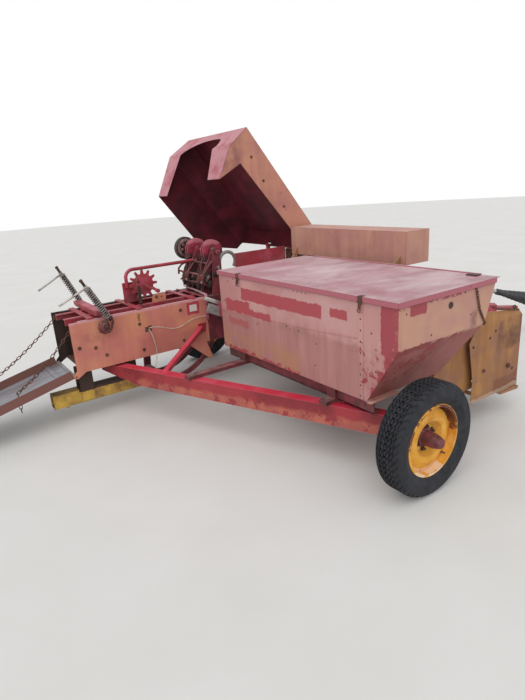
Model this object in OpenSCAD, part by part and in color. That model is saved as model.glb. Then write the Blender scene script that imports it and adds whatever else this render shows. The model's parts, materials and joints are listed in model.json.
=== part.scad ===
// Small square baler, towed, with a side pickup and twine knotters.
// X points forward along the bale chamber, Y to the left, Z up; sizes in millimetres.
// Sizes and places are measured from a cross line near the right wheel's axle, the chamber's
// centre plane and the ground; machine() moves them to the middle of the whole outline.

/* [Running gear] */
// Outer radius of both tyres
wheel_r = 298; // [285:1:320]
// Width of a tyre
tyre_w = 145; // [135:1:180]
// Radius of the rim's flange
rim_r = 190; // [170:1:200]
// Wall of the rim
rim_t = 5; // [4:0.5:8]
// Axle line of the right wheel
wheel_right_x = 18; // [0:1:30]
// Centre plane of the right wheel
wheel_right_y = -2268; // [-2350:1:-2240]
// Axle line of the left wheel
wheel_left_x = 280; // [200:1:330]
// Centre plane of the left wheel
wheel_left_y = 500; // [480:1:520]
// Diameter of a wheel spindle
spindle_d = 40; // [30:1:50]
// Diameter of a hub barrel
hub_d = 74; // [66:1:90]
// How far a hub stands out of its tyre's outer side
hub_out = 24; // [15:1:60]

/* [Bale chamber] */
// Half width of the chamber over its side plates
chamber_half = 238; // [225:1:245]
// Underside of the side plates above the ground
chamber_z = 385; // [370:1:400]
// Height of the side plates
chamber_h = 357; // [340:1:370]
// Rear end of the chamber
chamber_rear = -1090; // [-1200:1:-1050]
// Joint between the chamber and the plunger case
chamber_front = -40; // [-60:1:-20]
// Thickness of the side plates
side_t = 6; // [4:0.5:8]
// Width of the flange turned in along the top of a side plate
side_lip = 30; // [20:1:40]
// Size of an angle rail on top
rail = 38; // [30:1:45]
// Distance of an angle rail from the centre plane
rail_y = 120; // [100:1:140]
// Thickness of rails and straps
strap_t = 6; // [4:0.5:8]

/* [Plunger case] */
// Front end of the case
case_front = 1450; // [1400:1:1500]
// Rear edge of the feed opening
feed_rear = 380; // [360:1:400]
// Front edge of the feed opening
feed_front = 980; // [900:1:1020]
// Height of the feed opening
feed_h = 300; // [260:1:320]
// Length of the plunger head
plunger_len = 420; // [380:1:440]
// Rest place of the plunger's face
plunger_face = 560; // [520:1:600]
// Clearance round the plunger
plunger_gap = 8; // [6:1:12]

/* [Needles and knotters] */
// Knotter centre planes, right and left
knotter_y = [-155, 95];
// Place of the knotter shaft, forward
knotter_x = 90; // [80:1:110]
// Height of the knotter shaft
knotter_z = 1075; // [1060:1:1085]
// Diameter of the knotter shaft
knotter_shaft_d = 34; // [30:1:40]
// Radius of a knotter cam disc
cam_r = 78; // [70:1:84]
// Radius of a twine disc
twine_disc_r = 36; // [30:1:40]
// Radius of the driving disc at the left
drive_disc_r = 92; // [80:1:95]
// Place of the needle pivot, forward
needle_pivot_x = -360; // [-380:1:-340]
// Height of the needle pivot
needle_pivot_z = 570; // [560:1:580]
// Mean radius of a needle's arc
needle_r = 440; // [430:1:450]
// Thickness of a needle across the machine
needle_t = 14; // [10:1:18]
// Depth of a needle at its root
needle_deep = 40; // [30:1:44]

/* [Bale length and density gear] */
// Place of the measuring star's shaft, forward
star_x = -439; // [-450:1:-430]
// Height of the measuring star's shaft
star_z = 881; // [870:1:890]
// Radius to the tips of the star
star_r = 112; // [100:1:115]
// Thickness of the star and of its trip arm
star_t = 8; // [6:1:10]
// Teeth of the star
star_teeth = 12; // [10:1:14]
// Coils of a density spring
spring_coils = 13; // [8:1:16]
// Outer diameter of a density spring
spring_d = 44; // [36:1:50]

/* [Bale chute] */
// Length of the chute's floor
chute_len = 950; // [850:1:1050]
// Slope of the chute at rest
chute_slope = 13.7; // [8:0.1:16]
// Height of the chute's side walls
chute_wall = 62; // [50:1:80]
// Thickness of the chute's sheet
chute_t = 4; // [3:0.5:6]
// Clearance between the chute and the chamber's sides
chute_gap = 6; // [5:0.5:8]
// Distance from a chain's eye to its hook on the chute, right and left
chain_reach = [570, 735];

/* [Twine box] */
// Rear face of the twine box
box_rear = -142; // [-180:1:-120]
// Front edge of the twine box at its top
box_front = 636; // [600:1:660]
// Left face of the twine box
box_left = -650; // [-680:1:-640]
// Right face of the twine box
box_right = -2221; // [-2240:1:-2180]
// Underside of the twine box
box_z = 462; // [455:1:480]
// Height of the twine box
box_h = 538; // [520:1:548]
// Height at which the right wall bends inward
box_bend_z = 770; // [740:1:800]
// How far the right wall leans inward below its bend
box_lean = 193; // [150:1:200]
// How far the front wall leans back from top to bottom
box_rake = 205; // [160:1:220]
// Sheet of the twine box and its lid
box_t = 3; // [2:0.5:5]
// Depth of the lid's turned edge
lid_edge = 24; // [18:1:30]
// Gap between the lid's edge and the box
lid_gap = 6; // [5:0.5:8]

/* [Hood] */
// Length of the hood's top
hood_len = 1080; // [1040:1:1100]
// Right face of the hood
hood_right = -300; // [-305:1:-290]
// Left face of the hood
hood_left = 700; // [680:1:780]
// Hinge line of the hood, forward
hood_hinge_x = 940; // [930:1:950]
// Hinge line of the hood, height
hood_hinge_z = 1000; // [990:1:1010]
// Opening angle of the hood at rest
hood_tilt = 51.6; // [45:0.1:56]
// Depth of the hood's front and right bands
hood_band = 180; // [160:1:190]
// Sheet of the hood
hood_t = 3; // [2:0.5:5]

/* [Feeder and pickup] */
// Right end of the feeder platform
feeder_right = -2005; // [-2015:1:-1990]
// Right end of the feeder housing
housing_right = -1521; // [-1560:1:-1480]
// Left end of the feeder housing
housing_left = -340; // [-360:1:-330]
// Rear face of the feeder housing
housing_rear = 755; // [745:1:765]
// Front face of the feeder housing
housing_front = 985; // [970:1:1000]
// Underside of the feeder housing
housing_z = 985; // [970:1:1000]
// Height of the feeder housing
housing_h = 215; // [200:1:220]
// Centre of the pickup reel, forward
reel_x = 1130; // [1120:1:1140]
// Height of the pickup reel's centre
reel_z = 335; // [325:1:345]
// Radius of the reel's tine bars
reel_bar_r = 105; // [98:1:110]
// Radius to the tips of the pickup tines
reel_tip_r = 225; // [215:1:228]
// Tine bars on the reel
reel_bars = 4; // [3:1:6]
// Right end of the pickup
pickup_right = -2050; // [-2070:1:-2040]
// Left end of the pickup
pickup_left = -640; // [-660:1:-620]
// Gaps between stripper bands
pickup_bays = 14; // [10:1:16]
// Width of a stripper band
band_w = 52; // [40:1:56]
// Radius of a stripper band
band_r = 165; // [158:1:172]

// Line of the feeder's tines, forward
fork_x = 828; // [820:1:835]
// Front edge of the feeder platform
platform_front = 890; // [870:1:895]
// Place of the pickup's lift pivot, forward
lift_x = 860; // [850:1:865]
// Height of the pickup's lift pivot
lift_z = 368; // [362:1:372]

/* [Drive and drawbar] */
// Radius of the flywheel
flywheel_r = 265; // [250:1:270]
// Height of the input shaft
input_z = 800; // [790:1:810]
// Thickness of the flywheel's rim
flywheel_w = 70; // [60:1:80]
// Place of the drawbar's pivot, forward
drawbar_x = 1690; // [1680:1:1710]
// Place of the drawbar's pivot, across
drawbar_y = 0; // [-20:1:20]
// Length of the drawbar from its pivot to the hitch hole
drawbar_len = 1600; // [1570:1:1630]
// Swing of the drawbar to the right at rest
drawbar_swing = 46; // [40:0.1:48]
// Middle height of the drawbar
drawbar_z = 262; // [255:1:275]
// Diameter of the hitch pin hole
hitch_d = 32; // [25:1:36]
// Length of the drive shaft
shaft_len = 1900; // [1850:1:1950]
// Inner radius of the shield round the input joint
shield_r = 80; // [72:1:90]
// Droop of the drive shaft
shaft_droop = 14.7; // [14:0.1:15.4]

/* [Hidden] */
$fn = 48;

run_gap = 0.3;
chamber_top = chamber_z + chamber_h;
wheel_out = tyre_w / 2 + hub_out;
inner_half = chamber_half - side_t;
chute_hinge = [chamber_rear - 12, chamber_z - 22];
chain_eye = [chamber_rear + 22, chamber_top - 37];
chain_y = inner_half - 20;
lid_hinge = [box_front + 12, box_z + box_h + 4];
clevis_t = 14;
floor_z = chamber_z + 15;
wall_gap = 10;
hood_post_y = [hood_right + 12, chamber_half];
chute_low = 8;
chute_end_x = chute_hinge[0] - chute_len * cos(chute_slope) - (chute_wall - chute_low) * sin(chute_slope);
yoke_d = 64;
shaft_start = 60;
shaft_dir = [
    cos(shaft_droop) * cos(drawbar_swing),
    -cos(shaft_droop) * sin(drawbar_swing),
    -sin(shaft_droop)
];
shaft_end_x = drawbar_x + shaft_dir[0] * (shaft_start + shaft_len)
    + yoke_d / 2 * sin(drawbar_swing) + 14 * cos(drawbar_swing) * sin(shaft_droop);
centre_x = (chute_end_x + shaft_end_x) / 2;
centre_y = (wheel_right_y - wheel_out + hood_left) / 2;

// Bar that ties the knotters together, in X and Z.
knotter_tie = [knotter_x - 62, knotter_z - 85];
knotter_tie_d = 16;
// Routes of the two lengths of twine that come out of the chamber's right side.
twine_d = 6;
forward_route = [
    [-531, -236, 594], [-530, -244, 597], [-522, -250, 600], [-505, -252, 600], [-480, -251, 596],
    [-450, -250, 588], [-420, -250, 578], [-390, -250, 567], [-360, -250, 558], [-330, -250, 553],
    [-300, -250, 554], [-270, -250, 561], [-240, -250, 572], [-210, -251, 584], [-180, -252, 594],
    [-150, -253, 600], [-120, -254, 602], [-90, -254, 601], [-68, -253.3, 599], [-42, -253.3, 597]
];
down_route = [
    [-537, -236, 583], [-536, -244, 583], [-533, -249, 577], [-528, -251, 565], [-523, -251, 549],
    [-518, -251, 531], [-513, -250, 511], [-509, -250, 490], [-505, -250, 468], [-502, -250, 445],
    [-501, -250, 422], [-502, -250, 400], [-505, -249, 378], [-509, -249, 356], [-514, -248, 334],
    [-520, -248, 312], [-526, -248, 292], [-532, -248, 274]
];

// Colours
salmon = "#c47a62";
crimson = "#a82a32";
dark_red = "#6e1f25";
rust = "#7a4a32";
ochre = "#a8763c";
yellow = "#d9a52e";
black = "#26262a";
steel = "#9a9c9e";
grey_blue = "#8b8f9a";
white = "#c9c4b8";

// Moves the machine's own coordinates to the middle of the outline.
module machine() {
    translate([-centre_x, -centre_y, 0]) children();
}

// Plate across the machine: outline in X and Z, from y to y + t.
module plate(outline, y, t) {
    translate([0, y + t, 0]) rotate([90, 0, 0]) linear_extrude(t) polygon(outline);
}

// Profile along the machine: outline in Y and Z, from x to x + len.
module profile(outline, x, len) {
    translate([x, 0, 0]) rotate([90, 0, 90]) linear_extrude(len) polygon(outline);
}

// Block given by its two corners.
module block(a, b) {
    translate(a) cube(b - a);
}

// Round bar across the machine.
module across(x, z, y0, y1, d) {
    translate([x, y0, z]) rotate([-90, 0, 0]) cylinder(h = y1 - y0, d = d);
}

// Turns the Z axis to point from a to b, at a.
module along(a, b) {
    v = b - a;
    translate(a) rotate([0, acos(v[2] / norm(v)), atan2(v[1], v[0])]) children();
}

// Round bar between two points.
module rod(a, b, d) {
    along(a, b) cylinder(h = norm(b - a), d = d);
}

// Flat bar between two points, h deep and w wide.
module bar(a, b, w, h) {
    along(a, b) translate([-h / 2, -w / 2, 0]) cube([h, w, norm(b - a)]);
}

// Points of an arc, from angle a0 to a1 in n steps.
function arc(c, r, a0, a1, n) =
    [for (i = [0:n]) let (a = a0 + (a1 - a0) * i / n) [c[0] + r * cos(a), c[1] + r * sin(a)]];

// Bale chamber

module chamber_side(side) {
    y = side > 0 ? chamber_half - side_t : -chamber_half;
    lip_y = side > 0 ? chamber_half - side_lip : -chamber_half;
    difference() {
        union() {
            plate([
                [chamber_rear + 60, chamber_z], [chamber_front, chamber_z], [chamber_front, chamber_top],
                [chamber_rear, chamber_top], [chamber_rear, chamber_z + 20], [chute_hinge[0] - 14, chute_hinge[1] + 14],
                [chute_hinge[0] - 14, chute_hinge[1] - 12], [chute_hinge[0] + 12, chute_hinge[1] - 16]
            ], y, side_t);
            block([chamber_rear + 62, lip_y, chamber_top - side_t],
                  [chamber_front, lip_y + side_lip, chamber_top]);
        }
        across(chute_hinge[0], chute_hinge[1], y - 1, y + side_t + 1, 14 + 2 * run_gap);
        if (side < 0) across(-534, 589, y - 1, y + side_t + 1, 20);
    }
    across(chain_eye[0], chain_eye[1], side > 0 ? inner_half - 24 : -inner_half, side > 0 ? inner_half : 24 - inner_half, 12);
}

module chamber_right() {
    color(salmon) machine() {
        chamber_side(-1);
        plate([
            [-215, chamber_z], [-62, 246], [-40, 246], [-28, 262], [-100, 462], [-140, 462]
        ], -chamber_half - side_t, side_t);
        across(-847, 656, -chamber_half - 26, -chamber_half, 52);
        difference() {
            plate([
                [-429, chamber_top + strap_t], [-318, chamber_top + strap_t], [-318, chamber_top + 70],
                [-338, chamber_top + 74], [-402, chamber_top + 70], [-429, chamber_top + 56]
            ], -rail_y, strap_t);
            across(-352, chamber_top + 44, -rail_y - 1, -rail_y + strap_t + 1, 14);
        }
    }
}

module chamber_left() {
    color(black) machine() {
        chamber_side(1);
        across(-847, 656, chamber_half, chamber_half + 26, 52);
        across(needle_pivot_x, needle_pivot_z, chamber_half, chamber_half + 62, 30);
    }
}

module chamber_floor() {
    color(rust) machine() difference() {
        block([chamber_rear + 50, -inner_half, chamber_z], [chamber_front, inner_half, chamber_z + side_t]);
        for (y = knotter_y)
            block([-110, y - needle_t / 2 - 8, chamber_z - 1],
                  [chamber_front + 1, y + needle_t / 2 + 8, chamber_z + side_t + 1]);
    }
}

module top_rails() {
    color(crimson) machine() {
        for (y = [-rail_y, rail_y - strap_t])
            block([chamber_rear + 5, y, chamber_top - rail], [chamber_front - 30, y + strap_t, chamber_top]);
        for (y = [-rail_y, rail_y - rail])
            block([chamber_rear + 5, y, chamber_top], [chamber_front - 30, y + rail, chamber_top + strap_t]);
        for (x = [-960, -600, -160])
            block([x, -inner_half, chamber_top + strap_t], [x + rail, inner_half, chamber_top + 2 * strap_t]);
        for (x = [-960, -600, -160], side = [-1, 1])
            block([x, side > 0 ? rail_y : -inner_half, chamber_top],
                  [x + rail, side > 0 ? inner_half : -rail_y, chamber_top + strap_t]);
    }
}

// Plunger case

module plunger_case() {
    feed_z = chamber_z + 25;
    color(dark_red) machine() difference() {
        union() {
            for (y = [-chamber_half, inner_half])
                block([chamber_front, y, chamber_z], [case_front, y + side_t, chamber_top]);
            block([chamber_front, -inner_half, chamber_z], [case_front, inner_half, chamber_z + side_t]);
            block([chamber_front, -inner_half, chamber_top - side_t], [240, inner_half, chamber_top]);
            block([feed_front + 20, -inner_half, chamber_top - side_t], [case_front, inner_half, chamber_top]);
            block([case_front - side_t, -inner_half, chamber_z], [case_front, inner_half, chamber_top]);
        }
        block([feed_rear, -chamber_half - 1, feed_z], [feed_front, -inner_half + 1, feed_z + feed_h]);
        for (y = knotter_y, z = [chamber_z, chamber_top - side_t])
            block([chamber_front - 1, y - needle_t / 2 - 8, z - 1],
                  [110, y + needle_t / 2 + 8, z + side_t + 1]);
    }
}

module case_mounts() {
    post = 28;
    color(crimson) machine() {
        for (y = [hood_post_y[0], hood_post_y[1]]) difference() {
            union() {
                block([hood_hinge_x - 15, y, chamber_top - 28], [hood_hinge_x + 15, y + post, hood_hinge_z]);
                across(hood_hinge_x, hood_hinge_z, y, y + post, 36);
                block([hood_hinge_x - 15, min(y, chamber_half), chamber_top - 28],
                      [hood_hinge_x + 15, max(y + post, -chamber_half), chamber_top]);
            }
            across(hood_hinge_x, hood_hinge_z, y - 1, y + post + 1, 16 + 2 * run_gap);
        }
        for (side = [-1, 1]) block(
            [chamber_front - 14, side > 0 ? chamber_half : -chamber_half - 12, 560],
            [chamber_front, side > 0 ? chamber_half + 12 : -chamber_half, chamber_top + 6]
        );
        block([chamber_front - 14, -chamber_half - 12, chamber_top], [chamber_front, chamber_half + 12, chamber_top + 6]);
        block([20, box_left, 600], [26, -chamber_half, 700]);
    }
}

// Running gear

module axle_beam() {
    beam_top = 369;
    deep = 120;
    half = 36;
    run = [764, -1852] / norm([764, -1852]);
    side = [-run[1], run[0]] * half;
    near = [-842, -60];
    far = [-8, -2082];
    color(crimson) machine() {
        difference() {
            translate([0, 0, beam_top - deep]) linear_extrude(deep)
                polygon([near - side, far - side, far + side, near + side]);
            plate([[-1000, 200], [-640, 200], [-900, 330]], -620, 700);
        }
        block([near[0] - 40, -60 - 60, beam_top], [near[0] + 90, 60, chamber_z]);
        across(wheel_right_x, wheel_r, wheel_right_y - wheel_out + 30, far[1] + 60, spindle_d);
        rod([-619, -600, beam_top - 19], [-119, -chamber_half - 20, 509], 46);
        plate([[-150, 470], [-70, 470], [-60, 545], [-130, 545]], -chamber_half - side_t, side_t);
    }
}

module left_stub_axle() {
    color(crimson) machine() {
        plate([
            [wheel_left_x - 70, wheel_r - 60], [wheel_left_x + 70, wheel_r - 60],
            [wheel_left_x + 90, chamber_z + 150], [wheel_left_x - 90, chamber_z + 150]
        ], chamber_half, 14);
        across(wheel_left_x, wheel_r, chamber_half, wheel_left_y + wheel_out - 30, spindle_d);
        across(wheel_left_x, wheel_r, chamber_half, wheel_left_y - tyre_w / 2 - 20, 70);
    }
}

// Tyre section, in radius and distance from the wheel's centre plane.
function tyre_half() = [
    [rim_r - 10, tyre_w * 0.30], [rim_r + 16, tyre_w * 0.42], [wheel_r * 0.76, tyre_w * 0.5],
    [wheel_r * 0.88, tyre_w * 0.49], [wheel_r - 12, tyre_w * 0.43], [wheel_r, tyre_w * 0.32]
];

module tyre() {
    upper = tyre_half();
    n = len(upper);
    outline = concat(
        [for (i = [0:n - 1]) [upper[i][0], -upper[i][1]]],
        [for (i = [n - 1:-1:0]) upper[i]]
    );
    rotate([-90, 0, 0]) rotate_extrude($fn = 96) polygon(outline);
}

module rim(out) {
    bead = tyre_w * 0.3;
    half = bead + 12;
    seat = rim_r - 10 - run_gap;
    rotate([-90, 0, 0]) {
        difference() {
            union() {
                rotate_extrude($fn = 96) polygon([
                    [seat - rim_t, -half], [rim_r, -half], [rim_r, -bead - 9], [seat, -bead - 0.5],
                    [seat, bead + 0.5], [rim_r, bead + 9], [rim_r, half], [seat - rim_t, half]
                ]);
                rotate_extrude($fn = 96) polygon([
                    [hub_d / 2 - 4, out * -6], [70, out * -6], [96, out * 30], [122, out * 36], [seat - 2, out * 12],
                    [seat - 2, out * (12 - rim_t)], [120, out * (36 - rim_t)], [98, out * (30 - rim_t)],
                    [72, out * (-6 - rim_t)], [hub_d / 2 - 4, out * (-6 - rim_t)]
                ]);
                translate([0, 0, out > 0 ? -50 : -wheel_out + 40])
                    cylinder(h = wheel_out + 10, d = hub_d);
                rotate([out > 0 ? 0 : 180, 0, 0]) translate([0, 0, wheel_out - 40])
                    cylinder(h = 40, d1 = hub_d, d2 = spindle_d + 12);
            }
            translate([0, 0, out > 0 ? -51 : 12 - wheel_out])
                cylinder(h = wheel_out + 39, d = spindle_d + 2 * run_gap);
        }
    }
}

module wheel_right_tyre() {
    color(black) machine() translate([wheel_right_x, wheel_right_y, wheel_r]) tyre();
}

module wheel_right_rim() {
    color(yellow) machine() translate([wheel_right_x, wheel_right_y, wheel_r]) rim(-1);
}

module wheel_left_tyre() {
    color(black) machine() translate([wheel_left_x, wheel_left_y, wheel_r]) tyre();
}

module wheel_left_rim() {
    color(yellow) machine() translate([wheel_left_x, wheel_left_y, wheel_r]) rim(1);
}

// Rear hitch tube, clamped under the chamber.
module rear_hitch_tube() {
    tube_y = -145;
    tube_w = 90;
    tube_z = 135;
    tube_h = 100;
    wall = 5;
    color(yellow) machine() {
        difference() {
            block([-1262, tube_y, tube_z], [-620, tube_y + tube_w, tube_z + tube_h]);
            block([-1263, tube_y + wall, tube_z + wall], [-640, tube_y + tube_w - wall, tube_z + tube_h - wall]);
        }
        for (y = [tube_y - 10, tube_y + tube_w])
            block([-1068, y, tube_z + 8], [-972, y + 10, chamber_z]);
        for (y = [tube_y - 10, tube_y + tube_w])
            block([-700, y, tube_z + 8], [-640, y + 10, chamber_z]);
        translate([-1165, tube_y + tube_w / 2, tube_z - 22]) cylinder(h = 30, d = 24);
    }
}

// Bale density gear: two springs, their pulling screws and the cross beam that they press on.

function screw_top(side) = [-968, side * (chamber_half + 13), side > 0 ? 1046 : 1014];
function screw_low(side) = [-847, side * (chamber_half + 13), 656];

module density_gear() {
    high = chamber_top + 52;
    color(crimson) machine() difference() {
        union() {
            difference() {
                block([-905, -chamber_half - 2, chamber_top + 3 * strap_t], [-845, chamber_half + 2, high]);
                block([-899, -chamber_half - 3, chamber_top + 2 * strap_t], [-851, chamber_half + 3, high - 6]);
            }
            for (y = [-rail_y, rail_y - rail])
                block([-902, y, chamber_top + strap_t], [-848, y + rail, chamber_top + 3 * strap_t]);
            for (side = [-1, 1])
                block([-905, side > 0 ? chamber_half + 2 : -chamber_half - 30, high - 26],
                      [-845, side > 0 ? chamber_half + 30 : -chamber_half - 2, high]);
        }
        for (side = [-1, 1]) rod(screw_low(side), screw_top(side), 18);
    }
}

module density_screw(side) {
    top = screw_top(side);
    low = screw_low(side);
    dir = (top - low) / norm(top - low);
    tilt = acos(dir[2]);
    seat = (chamber_top + 52 + run_gap - low[2] + spring_d / 2 * sin(tilt)) / cos(tilt);
    spring_len = norm(top - low) - seat - 70;
    pitch = spring_len / spring_coils;
    handle = low + dir * (norm(top - low) - 40);
    rod(low + dir * (26 + run_gap), top, 16);
    along(low + dir * seat, top) rotate_extrude($fn = 32) polygon(concat(
        [[0, 0]],
        [for (i = [0:spring_coils - 1], p = [[-7, 0.02], [0, 0.3], [0, 0.7], [-7, 0.98]])
            [spring_d / 2 + p[0], pitch * (i + p[1])]],
        [[0, spring_len]]
    ));
    rod(handle, handle + [-195, side * 6, -78], 14);
}

module density_screws() {
    color(steel) machine() for (side = [-1, 1]) density_screw(side);
}

// Bale length trip: bent tube from the star's bracket to the knotters.
module trip_tube() {
    d = 26;
    bend = 60;
    y = 20;
    top_z = 1000;
    rear_x = -560;
    strap_x = -526;
    color(crimson) machine() {
        rod([rear_x, y, 870], [rear_x, y, top_z - bend], d);
        translate([rear_x + bend, y, top_z - bend]) rotate([90, 0, 0]) rotate([0, 0, 90])
            rotate_extrude(angle = 90, $fn = 48) translate([bend, 0]) circle(d = d);
        rod([rear_x + bend, y, top_z], [knotter_tie[0] - knotter_tie_d / 2 - run_gap, y, top_z], d);
        plate([
            [-590, chamber_top + 2 * strap_t], [-470, chamber_top + 2 * strap_t],
            [-425, 850], [-425, 905], [-590, 905]
        ], y + 12, 8);
        across(star_x, star_z, -36, y + 14, 20);
        block([strap_x, -rail_y + 16, chamber_top + strap_t], [strap_x + 22, -rail_y + 22, 952]);
        bar([star_x, -30, star_z], [star_x + 69, -100, star_z - 50], strap_t, 18);
        across(star_x + 69, star_z - 50, -112, -90, 32);
    }
}

module star_wheel() {
    color(crimson) machine() translate([star_x, -2, star_z]) rotate([90, 0, 0]) difference() {
        linear_extrude(star_t) polygon([
            for (i = [0:star_teeth - 1], p = [[-9, 0.72], [-4, 1], [4, 1], [9, 0.72]])
                let (a = 360 / star_teeth * i + p[0]) star_r * p[1] * [cos(a), sin(a)]
        ]);
        translate([0, 0, -1]) cylinder(h = star_t + 2, d = 20 + 2 * run_gap);
    }
}

// Knotters

module knotter_frame(y) {
    plate([
        [knotter_x - 100, chamber_top], [knotter_x + 60, chamber_top], [knotter_x + 40, knotter_z - 70],
        [knotter_x + 25, knotter_z + 26], [knotter_x - 25, knotter_z + 26], [knotter_x - 78, knotter_z - 90]
    ], y + 34, 12);
}

// Casting that hangs on the knotter shaft beside a cam and holds the twine disc.
module knotter_casting(y) {
    across(knotter_x, knotter_z, y - 67, y - 42, 64);
    plate([
        [knotter_x - 32, knotter_z], [knotter_x + 32, knotter_z], [knotter_x + 8, knotter_z - 84],
        [knotter_x - 36, knotter_z - 136], [knotter_x - 80, knotter_z - 196], [knotter_x - 116, knotter_z - 222],
        [knotter_x - 136, knotter_z - 200], [knotter_x - 118, knotter_z - 160], [knotter_x - 92, knotter_z - 112],
        [knotter_x - 58, knotter_z - 56]
    ], y - 52, 10);
    plate([
        [knotter_x - 6, knotter_z - 10], [knotter_x + 28, knotter_z], [knotter_x + 34, knotter_z - 120],
        [knotter_x + 22, knotter_z - 200], [knotter_x + 2, knotter_z - 250], [knotter_x - 30, knotter_z - 250],
        [knotter_x - 12, knotter_z - 180]
    ], y - 67, 9);
    across(knotter_x - 104, knotter_z - 196, y - 42, y - 24, 2 * twine_disc_r);
    across(knotter_x - 104, knotter_z - 196, y - 60, y - 52, 30);
}

module knotter_frames() {
    color(dark_red) machine() difference() {
        union() {
            for (y = knotter_y) knotter_frame(y);
            for (y = knotter_y) knotter_casting(y);
            plate([
                [knotter_x - 60, chamber_top], [knotter_x + 60, chamber_top],
                [knotter_x + 25, knotter_z + 26], [knotter_x - 25, knotter_z + 26]
            ], -inner_half, 10);
            plate([
                [knotter_x - 60, chamber_top], [knotter_x + 60, chamber_top],
                [knotter_x + 25, knotter_z + 26], [knotter_x - 25, knotter_z + 26]
            ], 215, 12);
            across(knotter_tie[0], knotter_tie[1], knotter_y[0] - 52, knotter_y[1] + 40, knotter_tie_d);
        }
        across(knotter_x, knotter_z, -300, 300, knotter_shaft_d + 2 * run_gap);
    }
}

module knotter_guard() {
    color(crimson) machine() {
        plate([[230, chamber_top], [730, chamber_top], [730, 1045], [230, 1045]], -282, 4);
        block([230, -282, 1041], [730, -258, 1045]);
        block([230, -282, chamber_top - 30], [730, -chamber_half - side_t, chamber_top]);
        block([230, -chamber_half - side_t, chamber_top - 30], [730, -chamber_half, chamber_top]);
    }
}

module knotter_shaft() {
    color(crimson) machine() {
        across(knotter_x, knotter_z, -270, 330, knotter_shaft_d);
        for (y = knotter_y) translate([knotter_x, y, knotter_z]) rotate([-90, 0, 0]) rotate_extrude() polygon([
            [0, -34], [cam_r - 8, -34], [cam_r, -30], [cam_r, -24], [cam_r - 15, -18], [cam_r - 19, -10],
            [cam_r - 8, -5], [cam_r, -3], [cam_r, 5], [cam_r - 16, 11], [40, 18], [0, 18]
        ]);
        translate([knotter_x, 262, knotter_z]) rotate([-90, 0, 0]) rotate_extrude() polygon([
            [0, 0], [drive_disc_r - 4, 0], [drive_disc_r, 3], [drive_disc_r, 35], [drive_disc_r - 5, 38],
            [drive_disc_r - 14, 28], [44, 28], [38, 42], [0, 42]
        ]);
    }
}

module needle_yoke() {
    tip = -26;
    root = -94;
    arm_y = chamber_half + 30;
    low = [needle_pivot_x + needle_r * cos(root), needle_pivot_z + needle_r * sin(root)];
    color(dark_red) machine() {
        for (y = knotter_y)
            plate(concat(
                arc([needle_pivot_x, needle_pivot_z], needle_r + needle_deep / 2, root, tip - 3, 10),
                [[needle_pivot_x + needle_r * cos(tip), needle_pivot_z + needle_r * sin(tip)]],
                arc([needle_pivot_x, needle_pivot_z], needle_r - needle_deep / 2, tip - 5, root, 10)
            ), y - needle_t / 2, needle_t);
        across(low[0], low[1], knotter_y[0] - 30, arm_y + 24, 48);
        difference() {
            plate([
                [low[0] - 30, low[1] - 10], [low[0] + 30, low[1] - 10],
                [needle_pivot_x + 34, needle_pivot_z], [needle_pivot_x + 24, needle_pivot_z + 30],
                [needle_pivot_x - 24, needle_pivot_z + 30], [needle_pivot_x - 34, needle_pivot_z]
            ], arm_y, 14);
            across(needle_pivot_x, needle_pivot_z, arm_y - 1, arm_y + 20, 30 + 2 * run_gap);
        }
    }
}

// Bale chute, lying open behind the chamber.
module bale_chute() {
    half = inner_half - chute_gap;
    color(grey_blue) machine() translate([chute_hinge[0], 0, chute_hinge[1]]) rotate([0, -chute_slope, 0]) {
        block([-chute_len, -half, -chute_low], [-16, half, -chute_low + chute_t]);
        for (y = [-half, half - chute_t])
            block([-chute_len, y, -chute_low], [-16, y + chute_t, chute_wall - chute_low]);
        for (x = [-80, -chute_len * 0.55, -chute_len + 30])
            block([x - 30, -half, -chute_low], [x, half, -chute_low + 12]);
        across(0, 0, -chamber_half, chamber_half, 14);
        block([-16, -half, -chute_low], [0, half, -chute_low + 12]);
    }
}

// One chain link: a flat ring with round ends, lying along Z.
module link(pitch, wire) {
    half = pitch / 2 + wire * 0.75;
    wide = wire * 1.6;
    translate([0, wire / 2, 0]) rotate([90, 0, 0]) linear_extrude(wire) difference() {
        hull() for (z = [wide - half, half - wide]) translate([0, z]) circle(wide, $fn = 12);
        hull() for (z = [wide - half, half - wide]) translate([0, z]) circle(wide - wire, $fn = 8);
    }
}

// Chains that hold the chute, hung from eyes on the chamber's sides.
module chute_chain(y, reach, drop) {
    wire = 6;
    n = round(reach / 31);
    pitch = reach / n;
    color(rust) machine() translate([chain_eye[0], y, chain_eye[1]]) rotate([0, 90 + drop, 180]) {
        rotate([90, 0, 0]) translate([0, 0, -4]) difference() {
            cylinder(h = 8, d = 26);
            translate([0, 0, -1]) cylinder(h = 10, d = 12 + 2 * run_gap);
        }
        for (i = [0:n - 1]) translate([0, 0, 12 + pitch * (i + 0.5)])
            rotate(i % 2 * 90) link(pitch, wire);
    }
}

module chute_chains() {
    chute_chain(-chain_y, chain_reach[0] - 20, 41);
    chute_chain(chain_y, chain_reach[1] - 20, 35);
}

// Twine box

module box_form(g) {
    low = box_z + g;
    high = box_z + box_h;
    lean = box_lean / (box_bend_z - box_z);
    rake = box_rake / box_h;
    intersection() {
        plate([
            [box_rear + g, low], [box_rear + g, high + (g > 0 ? 1 : 0)],
            [box_front - g + (g > 0 ? rake : 0), high + (g > 0 ? 1 : 0)], [box_front - box_rake - g + g * rake, low]
        ], box_right - 1, box_left - box_right + 2);
        profile([
            [box_left - g, low], [box_left - g, high + (g > 0 ? 1 : 0)],
            [box_right + g, high + (g > 0 ? 1 : 0)], [box_right + g, box_bend_z],
            [box_right + g + lean * (box_bend_z - low), low]
        ], box_rear - 1, box_front - box_rear + 2);
    }
}

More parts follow.
